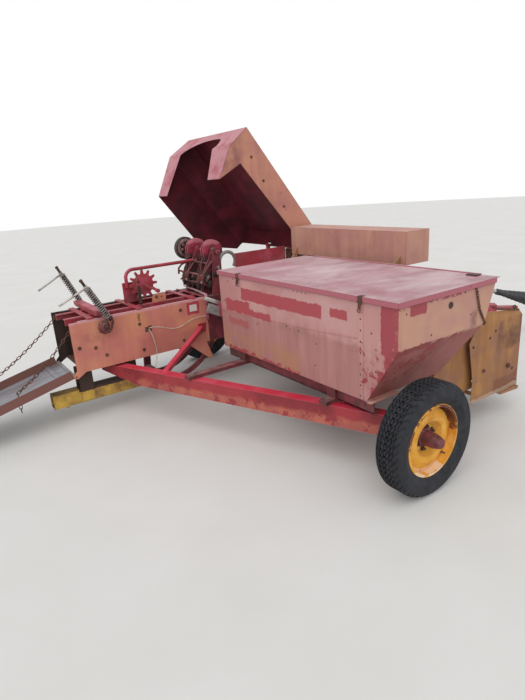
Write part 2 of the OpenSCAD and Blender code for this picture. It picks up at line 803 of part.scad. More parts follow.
module twine_box() {
    top = box_z + box_h;
    color(salmon) machine() {
        difference() {
            box_form(0);
            box_form(box_t);
        }
        for (y = [-898, -1993]) block([box_rear - 7, y - 12, 925], [box_rear, y + 12, 962]);
        block([box_front - 2, box_right + 100, top - 16], [lid_hinge[0] - 6 - run_gap, box_left - 100, top]);
    }
}

module box_lid() {
    top = box_z + box_h;
    out = lid_gap + box_t;
    color(salmon) machine() {
        difference() {
            block([box_rear - out, box_right - out, top - lid_edge], [lid_hinge[0], box_left + out, top + run_gap + box_t]);
            block([box_rear - lid_gap, box_right - lid_gap, top - lid_edge - 1],
                  [lid_hinge[0] + 1, box_left + lid_gap, top + run_gap]);
            block([box_front - 12, box_right - out - 1, top - lid_edge], [lid_hinge[0] + 1, box_left + out + 1, top + 1]);
        }
        across(lid_hinge[0], lid_hinge[1], box_right + 100, box_left - 100, 12);
        block([box_front - 60, box_right + 82, top + 2], [box_front - 20, box_right + 146, top + 12]);
    }
}

// Knotter hood, hinged at its front and standing open.

module hood_shell() {
    skirt = 420;
    flat_left = hood_left - 76;
    kink = -30;
    slope = 0.5;
    arch_y = (hood_right + hood_left) / 2 - 90;
    outer = [
        [hood_right, -skirt], [hood_right, hood_band], [flat_left, hood_band],
        [hood_left, hood_band - 200], [hood_left, -skirt]
    ];
    inner = [
        [hood_right + hood_t, -skirt - 1], [hood_right + hood_t, hood_band - hood_t],
        [flat_left - hood_t * 0.6, hood_band - hood_t], [hood_left - hood_t, hood_band - 200 - hood_t * 0.6],
        [hood_left - hood_t, -skirt - 1]
    ];
    opening = concat(
        [
            [hood_left - 165, -skirt - 2], [hood_right + 130, -skirt - 2], [hood_right + 252, kink + 5],
            [hood_right + 234, kink + 28], [hood_right + 228, kink + 62], [hood_right + 240, kink + 94]
        ],
        [for (a = [112:-8:0]) [arch_y + 380 * cos(a), 142 * sin(a) - 40]]
    );
    difference() {
        profile(outer, -hood_len, hood_len);
        difference() {
            profile(inner, -hood_len - 1, hood_len + 2);
            plate([[-hood_t, 0], [2, 0], [2, 200], [-hood_t, 200]], hood_right, hood_left - hood_right);
            difference() {
                plate([
                    [-hood_len - 2, hood_band + 2], [-hood_len + hood_t, hood_band + 2],
                    [-hood_len + hood_t, kink], [-hood_len + hood_t + slope * 400, kink - 400],
                    [-hood_len - 2 + slope * 400, kink - 400], [-hood_len - 2, kink]
                ], hood_right, hood_left - hood_right);
                profile(opening, -hood_len - 4, 240);
            }
        }
        plate([
            [-hood_len, kink], [-hood_len + slope * 400, kink - 400], [-hood_len - 5, kink - 400],
            [-hood_len - 5, kink]
        ], hood_right - 1, hood_left - hood_right + 2);
        plate([
            [-hood_len + 150, -38], [2, 0], [2, -skirt - 2], [-hood_len - 5, -skirt - 2],
            [-hood_len - 5, -250], [-hood_len + 112, -250]
        ], hood_right - 1, 250);
        plate([
            [-310, -360], [2, -80], [2, -skirt - 2], [-hood_len - 5, -skirt - 2], [-hood_len - 5, -350],
            [-hood_len + 162, -350]
        ], hood_left - 260, 261);
    }
}

module hood() {
    color(salmon) machine() translate([hood_hinge_x, 0, hood_hinge_z]) rotate([0, hood_tilt, 0]) {
        difference() {
            hood_shell();
            for (y = hood_post_y) block([-40, y - 8, -40], [4, y + 36, 30]);
        }
        across(0, 0, hood_right + 1, hood_post_y[1] + 40, 16);
    }
}

// Feeder

function box_front_at(z) = box_front - box_rake * (box_z + box_h - z) / box_h;

module feeder_platform() {
    color(dark_red) machine() {
        block([feed_rear, feeder_right, floor_z - 5], [platform_front, -chamber_half, floor_z]);
        for (y = [feeder_right, pickup_left - 40]) {
            plate([
                [lift_x - 24, lift_z - 20], [lift_x + 20, lift_z - 20],
                [lift_x + 30, floor_z - 4], [lift_x - 90, floor_z - 4]
            ], y, 14);
            across(lift_x, lift_z, y == feeder_right ? pickup_right - 8 : y, y == feeder_right ? y + 4 : pickup_left + 8, 24);
        }
    }
}

// Walls of the feeder's channel: behind the crop, at the chamber and at the right end.
module feeder_walls() {
    wall_top = box_z + box_h - 40;
    left = box_left + wall_gap;
    low_x = box_front_at(floor_z) + wall_gap;
    color(dark_red) machine() {
        plate([
            [low_x, floor_z], [low_x + 5, floor_z],
            [box_front_at(wall_top) + wall_gap + 5, wall_top], [box_front_at(wall_top) + wall_gap, wall_top]
        ], feeder_right - 5, left - feeder_right + 5);
        block([feed_rear, left - 5, floor_z], [low_x + 5, left, 690]);
        block([feed_rear - 5, left - 5, floor_z - 5], [feed_rear, -chamber_half, 690]);
        plate([
            [low_x, floor_z - 5], [560, 360], [590, 250], [800, 262], [812, 470], [770, 600],
            [box_front_at(600) + wall_gap, 600]
        ], feeder_right - 5, 5);
        for (y = [-420, housing_right + 40]) plate([
            [y > box_left ? housing_rear - 60 : box_front_at(wall_top) + wall_gap + 2, wall_top - 30],
            [housing_rear - 40, wall_top - 30], [housing_rear - run_gap, housing_z + 10],
            [housing_rear - run_gap, housing_z + 60],
            [y > box_left ? housing_rear - 60 : box_front_at(wall_top) + wall_gap + 2, wall_top]
        ], y, 20);
    }
}

// Bars on the axle beam that carry the platform and the twine box.
module box_supports() {
    beam_y = [-880, -1780];
    beam_rear = [-566, -196];
    color(dark_red) machine() for (i = [0:1]) {
        block([beam_rear[i], beam_y[i], 369], [feed_rear + 300, beam_y[i] + 60, floor_z - 5]);
        for (x = [-130, 300]) block([x, beam_y[i], floor_z - 6], [x + 50, beam_y[i] + 60, box_z]);
    }
}

module feeder_housing() {
    t = 4;
    color(salmon) machine() {
        difference() {
            block([housing_rear, housing_right, housing_z], [housing_front, housing_left, housing_z + housing_h]);
            block([housing_rear + t, housing_right + t, housing_z - 1],
                  [housing_front - t, housing_left - t, housing_z + housing_h - t]);
        }
        block([housing_front - 20, housing_left - t, chamber_top - 28], [housing_front, housing_left, housing_z + 1]);
        block([housing_front - 20, housing_left - t, chamber_top - 28], [housing_front, -chamber_half, chamber_top]);
    }
}

// Floor of the housing, in two runs, with the slot that the tines pass through between them.
module feeder_slides() {
    t = 4;
    ends = [housing_right + t, housing_left - t];
    color(dark_red) machine() {
        block([housing_rear + t, ends[0], housing_z], [fork_x - 22, ends[1], housing_z + t]);
        block([fork_x + 22, ends[0], housing_z], [housing_front - t, ends[1], housing_z + t]);
    }
}

module feeder_forks() {
    color(rust) machine() {
        block([fork_x - 45, -1300, housing_z + 4 + run_gap], [fork_x + 60, -620, housing_z + 50]);
        for (y = [-1260, -960, -660]) {
            bar([fork_x, y, housing_z + 12], [fork_x, y, 560], 20, 24);
            bar([fork_x, y, 565], [fork_x, y + 60, 450], 20, 24);
        }
    }
}

module plunger() {
    half = chamber_half - side_t - plunger_gap;
    low = chamber_z + side_t + plunger_gap;
    high = chamber_top - side_t - plunger_gap;
    color(rust) machine() {
        difference() {
            block([plunger_face, -half, low], [plunger_face + plunger_len, half, high]);
            block([plunger_face + 12, -half + 10, low + 10], [plunger_face + plunger_len + 1, half - 10, high - 10]);
            for (y = knotter_y)
                block([plunger_face - 1, y - 14, low - 1], [plunger_face + 13, y + 14, high + 1]);
        }
        for (y = [-half, half - 28])
            block([plunger_face + 20, y, low - plunger_gap + run_gap], [plunger_face + plunger_len - 20, y + 28, low + 2]);
    }
}

// Drive

module gearbox() {
    color(rust) machine() {
        block([1080, -170, chamber_top], [case_front - 30, 170, 960]);
        across(1240, 860, -215, 215, 200);
        translate([case_front - 30, 0, input_z]) rotate([0, 90, 0]) cylinder(h = 60, d = 110);
        translate([case_front + 30, 0, input_z]) rotate([0, 90, 0]) cylinder(h = 130, d = 50);
        translate([case_front + 30, 0, input_z]) rotate([0, 90, 0])
            cylinder(h = drawbar_x - 50 - case_front - 30, d = 36);
    }
}

module flywheel() {
    color(black) machine() translate([case_front + 50, 0, input_z]) rotate([0, 90, 0]) difference() {
        union() {
            difference() {
                cylinder(h = flywheel_w, r = flywheel_r, $fn = 96);
                translate([0, 0, 24]) cylinder(h = flywheel_w, r = flywheel_r - 50, $fn = 96);
            }
            cylinder(h = 100, d = 120);
        }
        translate([0, 0, -1]) cylinder(h = 102, d = 50 + 2 * run_gap);
        for (i = [0:4]) rotate(i * 72) translate([140, 0, -1]) cylinder(h = 26, d = 70);
    }
}

// Height of the drive shaft's axis above the drawbar, at a distance from the pivot.
function shaft_z(t) = input_z - t * tan(shaft_droop);

module drawbar_carrier() {
    color(crimson) machine() {
        for (y = [drawbar_y - 60, drawbar_y + 30])
            plate([
                [1120, chamber_z - 40], [1120, chamber_z], [case_front, chamber_z], [drawbar_x - 60, drawbar_z + 60],
                [drawbar_x - 60, drawbar_z + 32], [drawbar_x - 110, drawbar_z - 33]
            ], y, 30);
        block([drawbar_x - 110, drawbar_y - 60, drawbar_z - 33], [drawbar_x - 80, drawbar_y + 60, drawbar_z + 33]);
        for (z = [drawbar_z - 33, drawbar_z + 15])
            hull_plate(z, 18);
        translate([drawbar_x, drawbar_y, drawbar_z - 33]) cylinder(h = 66, d = 40);
        block([drawbar_x - 105, drawbar_y - 60, drawbar_z + 68], [drawbar_x - 99, drawbar_y + 60, input_z - shield_r]);
        translate([drawbar_x - 105, drawbar_y, input_z]) rotate([0, 90, 0]) difference() {
            cylinder(h = 80, r = shield_r + 4);
            translate([0, 0, -1]) cylinder(h = 82, r = shield_r);
        }
    }
}

module hull_plate(z, t) {
    block([drawbar_x - 110, drawbar_y - 55, z], [drawbar_x, drawbar_y + 55, z + t]);
    translate([drawbar_x, drawbar_y, z]) cylinder(h = t, r = 55);
}

module drawbar() {
    jack_at = drawbar_len - 420;
    cradle_at = drawbar_len - 260;
    cradle_top = shaft_z(cradle_at + 12) - 29 / cos(shaft_droop) - run_gap;
    color(crimson) machine() translate([drawbar_x, drawbar_y, 0]) rotate([0, 0, -drawbar_swing]) {
        difference() {
            union() {
                block([78, -50, drawbar_z - 40], [drawbar_len - 160, 50, drawbar_z + 40]);
                block([0, -55, drawbar_z - clevis_t], [90, 55, drawbar_z + clevis_t]);
                translate([0, 0, drawbar_z - clevis_t]) cylinder(h = 2 * clevis_t, r = 55);
                block([drawbar_len - 260, -40, drawbar_z - 15], [drawbar_len, 40, drawbar_z + 15]);
                translate([drawbar_len, 0, drawbar_z - 15]) cylinder(h = 30, r = 40);
            }
            translate([0, 0, drawbar_z - 20]) cylinder(h = 40, d = 40 + 2 * run_gap);
            translate([drawbar_len, 0, drawbar_z - 20]) cylinder(h = 40, d = hitch_d);
        }
        block([cradle_at - 12, -12, drawbar_z + 40], [cradle_at + 12, 12, cradle_top]);
        across(jack_at, drawbar_z, 50, 112, 24);
    }
}

module shaft_guard() {
    tube_d = 58;
    bell_d = 126;
    bore = 40 + 2 * run_gap;
    color(black) machine() translate([drawbar_x, drawbar_y, input_z]) rotate([0, 0, -drawbar_swing])
        rotate([0, 90 + shaft_droop, 0]) translate([0, 0, shaft_start]) difference() {
            union() {
                translate([0, 0, 120]) cylinder(h = 1240, d = tube_d);
                translate([0, 0, 60]) cylinder(h = 120, d1 = bell_d, d2 = tube_d);
                translate([0, 0, 1420]) cylinder(h = 60, d = tube_d);
                translate([0, 0, 1480]) cylinder(h = 240, d1 = tube_d, d2 = bell_d);
                translate([0, 0, 1720]) cylinder(h = 60, d = bell_d);
            }
            cylinder(h = shaft_len, d = bore);
            translate([0, 0, 59]) cylinder(h = 100, d1 = bell_d - 8, d2 = 62);
            translate([0, 0, 1540]) cylinder(h = 180.1, d1 = 66, d2 = bell_d - 8);
            translate([0, 0, 1720]) cylinder(h = 61, d = bell_d - 8);
        }
}

module drive_shaft() {
    fork = yoke_d / 2 + 4;
    color(steel) machine() translate([drawbar_x, drawbar_y, input_z]) rotate([0, 0, -drawbar_swing])
        rotate([0, 90 + shaft_droop, 0]) {
            for (y = [-fork, fork - 12]) block([-14, y, -16], [14, y + 12, shaft_start + 8]);
            rotate([90, 0, 0]) translate([0, 0, -fork - 2]) cylinder(h = 2 * fork + 4, d = 18);
            rotate([0, 90, 0]) translate([0, 0, -24]) cylinder(h = 48, d = 18);
            translate([0, 0, shaft_start]) {
                translate([0, 0, 40]) cylinder(h = shaft_len - 80, d = 40);
                cylinder(h = 110, d = yoke_d);
                translate([0, 0, shaft_len - 110]) cylinder(h = 80, d = yoke_d);
                for (y = [-fork + 4, fork - 16]) block([-14, 0, 0] + [0, y, shaft_len - 40], [14, 0, 0] + [0, y + 12, shaft_len]);
            }
        }
}

module jack_leg() {
    color(crimson) machine() translate([drawbar_x, drawbar_y, 0]) rotate([0, 0, -drawbar_swing])
        translate([drawbar_len - 420, 0, 0]) {
            difference() {
                union() {
                    block([-22, 60, 8], [22, 104, drawbar_z]);
                    across(0, drawbar_z, 60, 104, 60);
                }
                across(0, drawbar_z, 50, 110, 24 + 2 * run_gap);
            }
            block([-75, 58, 0], [75, 158, 8]);
        }
}

// Pickup

module pickup_side(y, inner_side) {
    bore = 2 * run_gap;
    difference() {
        plate(inner_side ? [
            [836, 344], [836, 380], [905, 380], [912, 620], [1190, 640], [1240, 600], [1250, 215], [1245, 165],
            [862, 165], [862, 344]
        ] : [
            [745, 178], [752, 331], [697, 574], [790, 700], [870, 735], [970, 719], [1215, 688], [1258, 650],
            [1262, 218], [1268, 166]
        ], y, 4);
        across(lift_x, lift_z, y - 1, y + 5, 24 + bore);
        across(reel_x, reel_z, y - 1, y + 5, 30 + bore);
    }
}

// One stripper band: over the reel's top, round its front and under it.
module stripper_band(y) {
    rear = reel_x - platform_front - 10;
    t = 4;
    translate([reel_x, y + band_w / 2, reel_z]) rotate([90, 0, 0]) linear_extrude(band_w) polygon(concat(
        [[-rear, band_r - 50], [-rear, band_r - 50 + t]],
        arc([0, 0], band_r, 95, -120, 15),
        [[-242, -145], [-242, -145 + t]],
        arc([0, 0], band_r - t, -120, 95, 15)
    ));
}

module pickup_frame() {
    pitch = (pickup_left - pickup_right) / pickup_bays;
    rear = platform_front + 10;
    color(ochre) machine() {
        pickup_side(pickup_right, false);
        pickup_side(pickup_left - 4, true);
        block([rear - 4, pickup_right + 4, reel_z + band_r - 70], [rear, pickup_left - 4, reel_z + band_r - 46]);
        block([reel_x - 258, pickup_right + 4, reel_z - 161], [reel_x - 242, pickup_left - 4, reel_z - 141]);
        plate([
            [reel_x - 100, 166], [reel_x + 100, 150], [reel_x + 112, 160], [reel_x + 112, 170], [reel_x - 100, 176]
        ], pickup_right - 26, 26);
    }
}

module stripper_bands() {
    pitch = (pickup_left - pickup_right) / pickup_bays;
    color(ochre) machine()
        for (i = [0:pickup_bays - 1]) stripper_band(pickup_right + pitch * (i + 0.5));
}

module pickup_reel() {
    pitch = (pickup_left - pickup_right) / pickup_bays;
    color(rust) machine() {
        across(reel_x, reel_z, pickup_right + 8, pickup_left - 8, 40);
        across(reel_x, reel_z, pickup_right - 14, pickup_left + 14, 30);
        for (b = [0:reel_bars - 1]) {
            a = 360 / reel_bars * b + 30;
            p = [reel_x + reel_bar_r * cos(a), reel_z + reel_bar_r * sin(a)];
            across(p[0], p[1], pickup_right + 12, pickup_left - 12, 26);
            for (i = [1:pickup_bays - 1])
                rod([p[0], pickup_right + pitch * i, p[1]],
                    [reel_x + reel_tip_r * cos(a - 8), pickup_right + pitch * i, reel_z + reel_tip_r * sin(a - 8)], 7);
        }
        for (y = [pickup_right + 12, (pickup_left + pickup_right) / 2 + pitch / 2, pickup_left - 20])
            across(reel_x, reel_z, y, y + 8, 2 * reel_bar_r + 30);
    }
}

// Twine

// A ring of n points round p, square to the way w.
function ring_at(p, w, r, n) =
    let (u = cross(w, [0, 1, 0.3]), a = u / norm(u), b = cross(w, a) / norm(w))
    [for (i = [0:n - 1]) p + r * (cos(360 / n * i) * a + sin(360 / n * i) * b)];

// The way a route runs at its point i.
function way_at(route, i) = route[min(i + 1, len(route) - 1)] - route[max(i - 1, 0)];

module swept(route, r, n) {
    m = len(route);
    polyhedron(
        [for (i = [0:m - 1]) each ring_at(route[i], way_at(route, i), r, n)],
        concat(
            [[for (i = [n - 1:-1:0]) i]],
            [for (k = [0:m - 2], i = [0:n - 1]) let (j = (i + 1) % n)
                [k * n + i, k * n + j, (k + 1) * n + j, (k + 1) * n + i]],
            [[for (i = [0:n - 1]) (m - 1) * n + i]]
        )
    );
}

module twine_forward() {
    color(white) machine() swept(forward_route, twine_d / 2, 8);
}

module twine_down() {
    color(white) machine() swept(down_route, twine_d / 2, 8);
}

chamber_right();
chamber_left();
chamber_floor();
top_rails();
plunger_case();
case_mounts();
axle_beam();
left_stub_axle();
rear_hitch_tube();
density_gear();
density_screws();
trip_tube();
knotter_frames();
knotter_guard();
twine_box();
feeder_platform();
feeder_walls();
box_supports();
feeder_housing();
feeder_slides();
gearbox();
plunger();
needle_yoke();
star_wheel();
knotter_shaft();
bale_chute();
chute_chains();
box_lid();
hood();
feeder_forks();
pickup_frame();
stripper_bands();
pickup_reel();
flywheel();
drawbar_carrier();
drawbar();
shaft_guard();
drive_shaft();
jack_leg();
wheel_right_tyre();
wheel_right_rim();
wheel_left_tyre();
wheel_left_rim();
twine_forward();
twine_down();
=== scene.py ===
"""Looks of a weathered small square baler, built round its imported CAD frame.

Lengths are millimetres in the machine's own axes: X forward from a cross line near the right
wheel's axle, Y left from the bale chamber's centre plane, Z up from the ground.
"""
import json
import logging
from dataclasses import dataclass
from enum import Enum
from math import acos, cos, pi, radians, sin
from statistics import NormalDist
from typing import Dict, Iterable, List, Optional, Sequence, Tuple

import bmesh
import bpy
from mathutils import Matrix, Vector


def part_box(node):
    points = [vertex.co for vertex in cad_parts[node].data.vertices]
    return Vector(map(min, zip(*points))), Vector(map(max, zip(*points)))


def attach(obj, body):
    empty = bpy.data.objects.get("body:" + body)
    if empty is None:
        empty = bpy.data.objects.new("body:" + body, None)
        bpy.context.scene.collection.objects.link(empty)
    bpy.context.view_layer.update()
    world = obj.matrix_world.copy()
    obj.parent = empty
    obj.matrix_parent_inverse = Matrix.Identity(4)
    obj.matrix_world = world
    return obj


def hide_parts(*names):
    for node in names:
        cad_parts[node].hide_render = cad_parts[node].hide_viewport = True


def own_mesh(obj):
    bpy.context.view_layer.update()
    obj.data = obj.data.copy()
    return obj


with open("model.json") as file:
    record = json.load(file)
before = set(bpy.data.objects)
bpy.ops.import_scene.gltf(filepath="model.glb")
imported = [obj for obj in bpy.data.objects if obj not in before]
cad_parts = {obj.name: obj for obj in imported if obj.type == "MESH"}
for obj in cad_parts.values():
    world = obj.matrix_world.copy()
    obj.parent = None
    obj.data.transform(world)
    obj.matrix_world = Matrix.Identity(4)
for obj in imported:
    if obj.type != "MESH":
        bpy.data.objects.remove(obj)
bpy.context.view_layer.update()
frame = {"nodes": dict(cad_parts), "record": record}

log = logging.getLogger("baler")

Point = Tuple[float, float, float]

MM = 0.001
# How much a noise texture's value varies, which turns a share of the surface into a threshold.
NOISE_SPREAD = 0.115
# Runs of dirt are drawn out down the surface by this much.
RUN_STRETCH = (1.0, 1.0, 0.12)
# How far paint wears back from an edge, in metres, how raggedly, and how far the rounded normal
# leaves the flat one where it starts to show and where it is all off.
EDGE_WEAR = 0.005
EDGE_RAGGED = -0.3
EDGE_WHOLE, EDGE_OFF = 0.74, 0.70
# A face looks along a direction from the first of these cosines, and fully so from the second.
LOOKS_ROUGHLY, LOOKS_FULLY = 0.5, 0.7
# The wheels' centres and the knotter shaft's axis, in X and Z, in the machine's own axes.
WHEEL_RIGHT = Vector((18.0, -2268.0, 298.0))
WHEEL_LEFT = Vector((280.0, 500.0, 298.0))
KNOTTER_SHAFT = (90.0, 1075.0)
TYRE_LOW, TYRE_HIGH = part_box("wheel_right_tyre")
# From the machine's own axes to the frame's, found at the wheel that both know.
SHIFT = (Vector(TYRE_LOW) + Vector(TYRE_HIGH)) / 2 - WHEEL_RIGHT * MM


def place(x: float, y: float, z: float) -> Vector:
    """Gives the place in the frame, in metres, of a point in the machine's own millimetres."""
    return Vector((x, y, z)) * MM + SHIFT


def linear(colour: str) -> Tuple[float, float, float, float]:
    """Turns an sRGB hex colour to linear.

    Args:
        colour: six hex digits after a hash sign.

    Returns:
        Linear red, green, blue and an alpha of 1.
    """
    parts = [int(colour[i:i + 2], 16) / 255 for i in (1, 3, 5)]
    return tuple(c / 12.92 if c <= 0.04045 else ((c + 0.055) / 1.055) ** 2.4 for c in parts) + (1.0,)


def add_node(tree: bpy.types.NodeTree, kind: str, inputs: Optional[dict] = None,
             **settings: object) -> bpy.types.Node:
    """Adds a node, sets it up and links it.

    Args:
        tree: the node tree.
        kind: Blender's name of the node's type.
        inputs: socket name or number, and the value or the output that goes in.
        settings: the node's own properties.

    Returns:
        The new node.
    """
    node = tree.nodes.new(kind)
    for key, value in settings.items():
        setattr(node, key, value)
    for socket, value in (inputs or {}).items():
        target = node.inputs[socket]
        if isinstance(value, bpy.types.NodeSocket):
            tree.links.new(value, target)
        else:
            target.default_value = value
    return node


def maths(tree: bpy.types.NodeTree, operation: str, *values: object) -> bpy.types.NodeSocket:
    """Adds a Math node on some values or sockets, and gives its result."""
    return add_node(tree, "ShaderNodeMath", dict(enumerate(values)), operation=operation).outputs[0]


def vector_maths(tree: bpy.types.NodeTree, operation: str, *values: object) -> bpy.types.NodeSocket:
    """Adds a Vector Math node on some vectors or sockets, and gives its result."""
    node = add_node(tree, "ShaderNodeVectorMath", dict(enumerate(values)), operation=operation)
    return node.outputs["Value" if operation in ("DOT_PRODUCT", "LENGTH") else "Vector"]


class Pattern(Enum):
    """How a layer of a finish spreads over the surface."""

    PLAIN = "everywhere in its area"
    CLOUD = "soft clouds"
    STREAK = "runs down the surface"
    FLAKE = "hard ragged patches, where paint has come off"
    EDGE = "worn along the edges"


@dataclass(frozen=True)
class Area:
    """A box in the machine's millimetres that a layer keeps to.

    ragged is how far its border wanders, and fade how slowly it fades out there.
    """

    low: Point
    high: Point
    ragged: float = 12.0
    fade: float = 2.0


@dataclass(frozen=True)
class Ring:
    """A ring about an axis across the machine that a layer keeps to, by its centre and two radii."""

    x: float
    z: float
    low: float
    high: float


@dataclass(frozen=True)
class Layer:
    """One layer of colour over a finish.

    size is the width of its blotches in mm, cover the share of the surface that it takes, soft how
    slowly it fades at its border, and most its opacity. rough is its own roughness, unless it is
    negative. lift is how far it stands up, in mm, and on an edge also how wide the wear is. toward
    keeps it to the faces that look along a direction, inside to those that look at a point in the
    machine's millimetres. stretch draws its blotches out, and swirl winds them.
    """

    pattern: Pattern
    colour: str
    size: float = 100.0
    cover: float = 0.5
    soft: float = 0.06
    most: float = 1.0
    rough: float = -1.0
    lift: float = 0.0
    area: Optional[Area] = None
    toward: Optional[Point] = None
    inside: Optional[Point] = None
    ring: Optional[Ring] = None
    stretch: Point = (1.0, 1.0, 1.0)
    swirl: float = 0.0


@dataclass(frozen=True)
class Finish:
    """A material: its base colour, gloss and the layers that wear and weather have laid on it.

    grain is the size in mm of its finest unevenness, and grain_depth how deep that is.
    """

    name: str
    colour: str
    rough: float
    layers: Tuple[Layer, ...] = ()
    metallic: float = 0.0
    grain: float = 2.0
    grain_depth: float = 0.15

    def build(self) -> bpy.types.Material:
        """Makes the material's nodes.

        Returns:
            The material.
        """
        material = bpy.data.materials.new(self.name)
        material.use_nodes = True
        tree = material.node_tree
        tree.nodes.clear()
        at = add_node(tree, "ShaderNodeTexCoord")
        colour = linear(self.colour)
        rough = self.rough
        height = add_node(tree, "ShaderNodeTexNoise", {
            "Vector": at.outputs["Object"], "Scale": 1000 / self.grain, "Detail": 3.0,
        }).outputs["Fac"]
        height = maths(tree, "MULTIPLY", height, self.grain_depth)
        for number, layer in enumerate(self.layers):
            mask = self.mask(tree, at, layer, number)
            colour = add_node(tree, "ShaderNodeMix", {0: mask, 6: colour, 7: linear(layer.colour)},
                              data_type="RGBA").outputs[2]
            if layer.rough >= 0:
                rough = add_node(tree, "ShaderNodeMix", {0: mask, 2: rough, 3: layer.rough}).outputs[0]
            if layer.lift:
                height = maths(tree, "MULTIPLY_ADD", mask, layer.lift, height)
        bump = add_node(tree, "ShaderNodeBump", {"Height": height, "Strength": 0.6, "Distance": MM})
        shader = add_node(tree, "ShaderNodeBsdfPrincipled", {
            "Base Color": colour, "Roughness": rough, "Metallic": self.metallic, "Normal": bump.outputs[0],
        })
        add_node(tree, "ShaderNodeOutputMaterial", {"Surface": shader.outputs[0]})
        return material

    def mask(self, tree: bpy.types.NodeTree, at: bpy.types.Node, layer: Layer,
             number: int) -> bpy.types.NodeSocket:
        """Makes the nodes that say where a layer lies.

        Args:
            tree: the material's node tree.
            at: its Texture Coordinate node.
            layer: the layer.
            number: its place in the list, which sets its patterns apart.

        Returns:
            A socket that is 1 where the layer covers and 0 where it doesn't.
        """
        stretch = RUN_STRETCH if layer.pattern is Pattern.STREAK else layer.stretch
        shift = add_node(tree, "ShaderNodeMapping", {
            "Vector": at.outputs["Object"], "Scale": stretch,
            "Location": (number * 3.7, number * 1.9, number * 5.3),
        }).outputs[0]
        hard = layer.pattern in (Pattern.FLAKE, Pattern.EDGE)
        noise = add_node(tree, "ShaderNodeTexNoise", {
            "Vector": shift, "Scale": 1000 / layer.size, "Detail": 9.0 if hard else 5.0,
            "Roughness": 0.68 if hard else 0.55, "Distortion": 0.25 if hard else layer.swirl,
        }).outputs["Fac"]
        border = 0.5 - NOISE_SPREAD * NormalDist().inv_cdf(min(max(layer.cover, 0.01), 0.99))
        soft = 0.012 if layer.pattern is Pattern.FLAKE else layer.soft
        parts: List[bpy.types.NodeSocket] = []
        if layer.pattern is Pattern.EDGE:
            flat = add_node(tree, "ShaderNodeNewGeometry").outputs["Normal"]
            rounded = add_node(tree, "ShaderNodeBevel", {"Radius": layer.lift * MM or EDGE_WEAR}, samples=6)
            noise = maths(tree, "MULTIPLY_ADD", noise, EDGE_RAGGED,
                          vector_maths(tree, "DOT_PRODUCT", rounded.outputs[0], flat))
            parts.append(self.step(tree, noise, EDGE_WHOLE, EDGE_OFF))
        elif layer.pattern is not Pattern.PLAIN:
            parts.append(self.step(tree, noise, border - soft, border + soft))
        if layer.area:
            parts.append(self.window(tree, at, layer.area, number))
        if layer.toward:
            facing = vector_maths(tree, "DOT_PRODUCT", at.outputs["Normal"],
                                  Vector(layer.toward).normalized())
            parts.append(self.step(tree, facing, LOOKS_ROUGHLY, LOOKS_FULLY))
        if layer.inside:
            offset = vector_maths(tree, "SUBTRACT", place(*layer.inside), at.outputs["Object"])
            facing = vector_maths(tree, "DOT_PRODUCT", at.outputs["Normal"], offset)
            parts.append(self.step(tree, facing, -0.001, 0.001))
        if layer.ring:
            parts += self.band(tree, at, layer.ring)
        mask = layer.most
        for part in parts:
            mask = maths(tree, "MULTIPLY", mask, part)
        return mask

    @staticmethod
    def step(tree: bpy.types.NodeTree, value: bpy.types.NodeSocket, low: float,
             high: float) -> bpy.types.NodeSocket:
        """Turns a value to 0 below low and 1 above high.

        Args:
            tree: the material's node tree.
            value: the socket to read.
            low: where it starts to rise.
            high: where it reaches 1.

        Returns:
            The stepped socket.
        """
        return add_node(tree, "ShaderNodeMapRange", {
            "Value": value, "From Min": low, "From Max": high, "To Min": 0.0, "To Max": 1.0,
        }).outputs[0]

    def band(self, tree: bpy.types.NodeTree, at: bpy.types.Node, ring: Ring) -> List[bpy.types.NodeSocket]:
        """Makes the nodes that keep a layer to a ring about an axis across the machine.

        Args:
            tree: the material's node tree.
            at: its Texture Coordinate node.
            ring: the ring.

        Returns:
            Two sockets, both 1 in the ring.
        """
        away = vector_maths(tree, "SUBTRACT", at.outputs["Object"], place(ring.x, 0, ring.z))
        reach = vector_maths(tree, "LENGTH", vector_maths(tree, "MULTIPLY", away, (1, 0, 1)))
        return [self.step(tree, reach, (ring.low - 1) * MM, (ring.low + 1) * MM),
                self.step(tree, reach, (ring.high + 1) * MM, (ring.high - 1) * MM)]

    def window(self, tree: bpy.types.NodeTree, at: bpy.types.Node, area: Area,
               number: int) -> bpy.types.NodeSocket:
        """Makes the nodes that keep a layer to a box with a ragged border.

        Args:
            tree: the material's node tree.
            at: its Texture Coordinate node.
            area: the box.
            number: sets its border apart from those of other layers.

        Returns:
            A socket that is 1 in the box.
        """
        low, high = place(*area.low), place(*area.high)
        noise = add_node(tree, "ShaderNodeTexNoise", {
            "Vector": at.outputs["Object"], "Scale": 190 / area.ragged + number * 0.37, "Detail": 4.0,
            "Roughness": 0.55,
        }).outputs["Color"]
        drift = vector_maths(tree, "SUBTRACT", noise, (0.5, 0.5, 0.5))
        drift = add_node(tree, "ShaderNodeVectorMath", {0: drift, "Scale": area.ragged * 4 * MM},
                         operation="SCALE").outputs[0]
        away = vector_maths(tree, "ADD", at.outputs["Object"], drift)
        away = vector_maths(tree, "SUBTRACT", away, (low + high) / 2)
        away = vector_maths(tree, "ABSOLUTE", away)
        away = vector_maths(tree, "SUBTRACT", away, (high - low) / 2)
        over = add_node(tree, "ShaderNodeSeparateXYZ", {0: away}).outputs
        most = maths(tree, "MAXIMUM", maths(tree, "MAXIMUM", over[0], over[1]), over[2])
        return self.step(tree, most, area.fade * MM, -area.fade * MM)


# Short, because the lists below name it often.
P = Pattern
UP = (0, 0, 1)
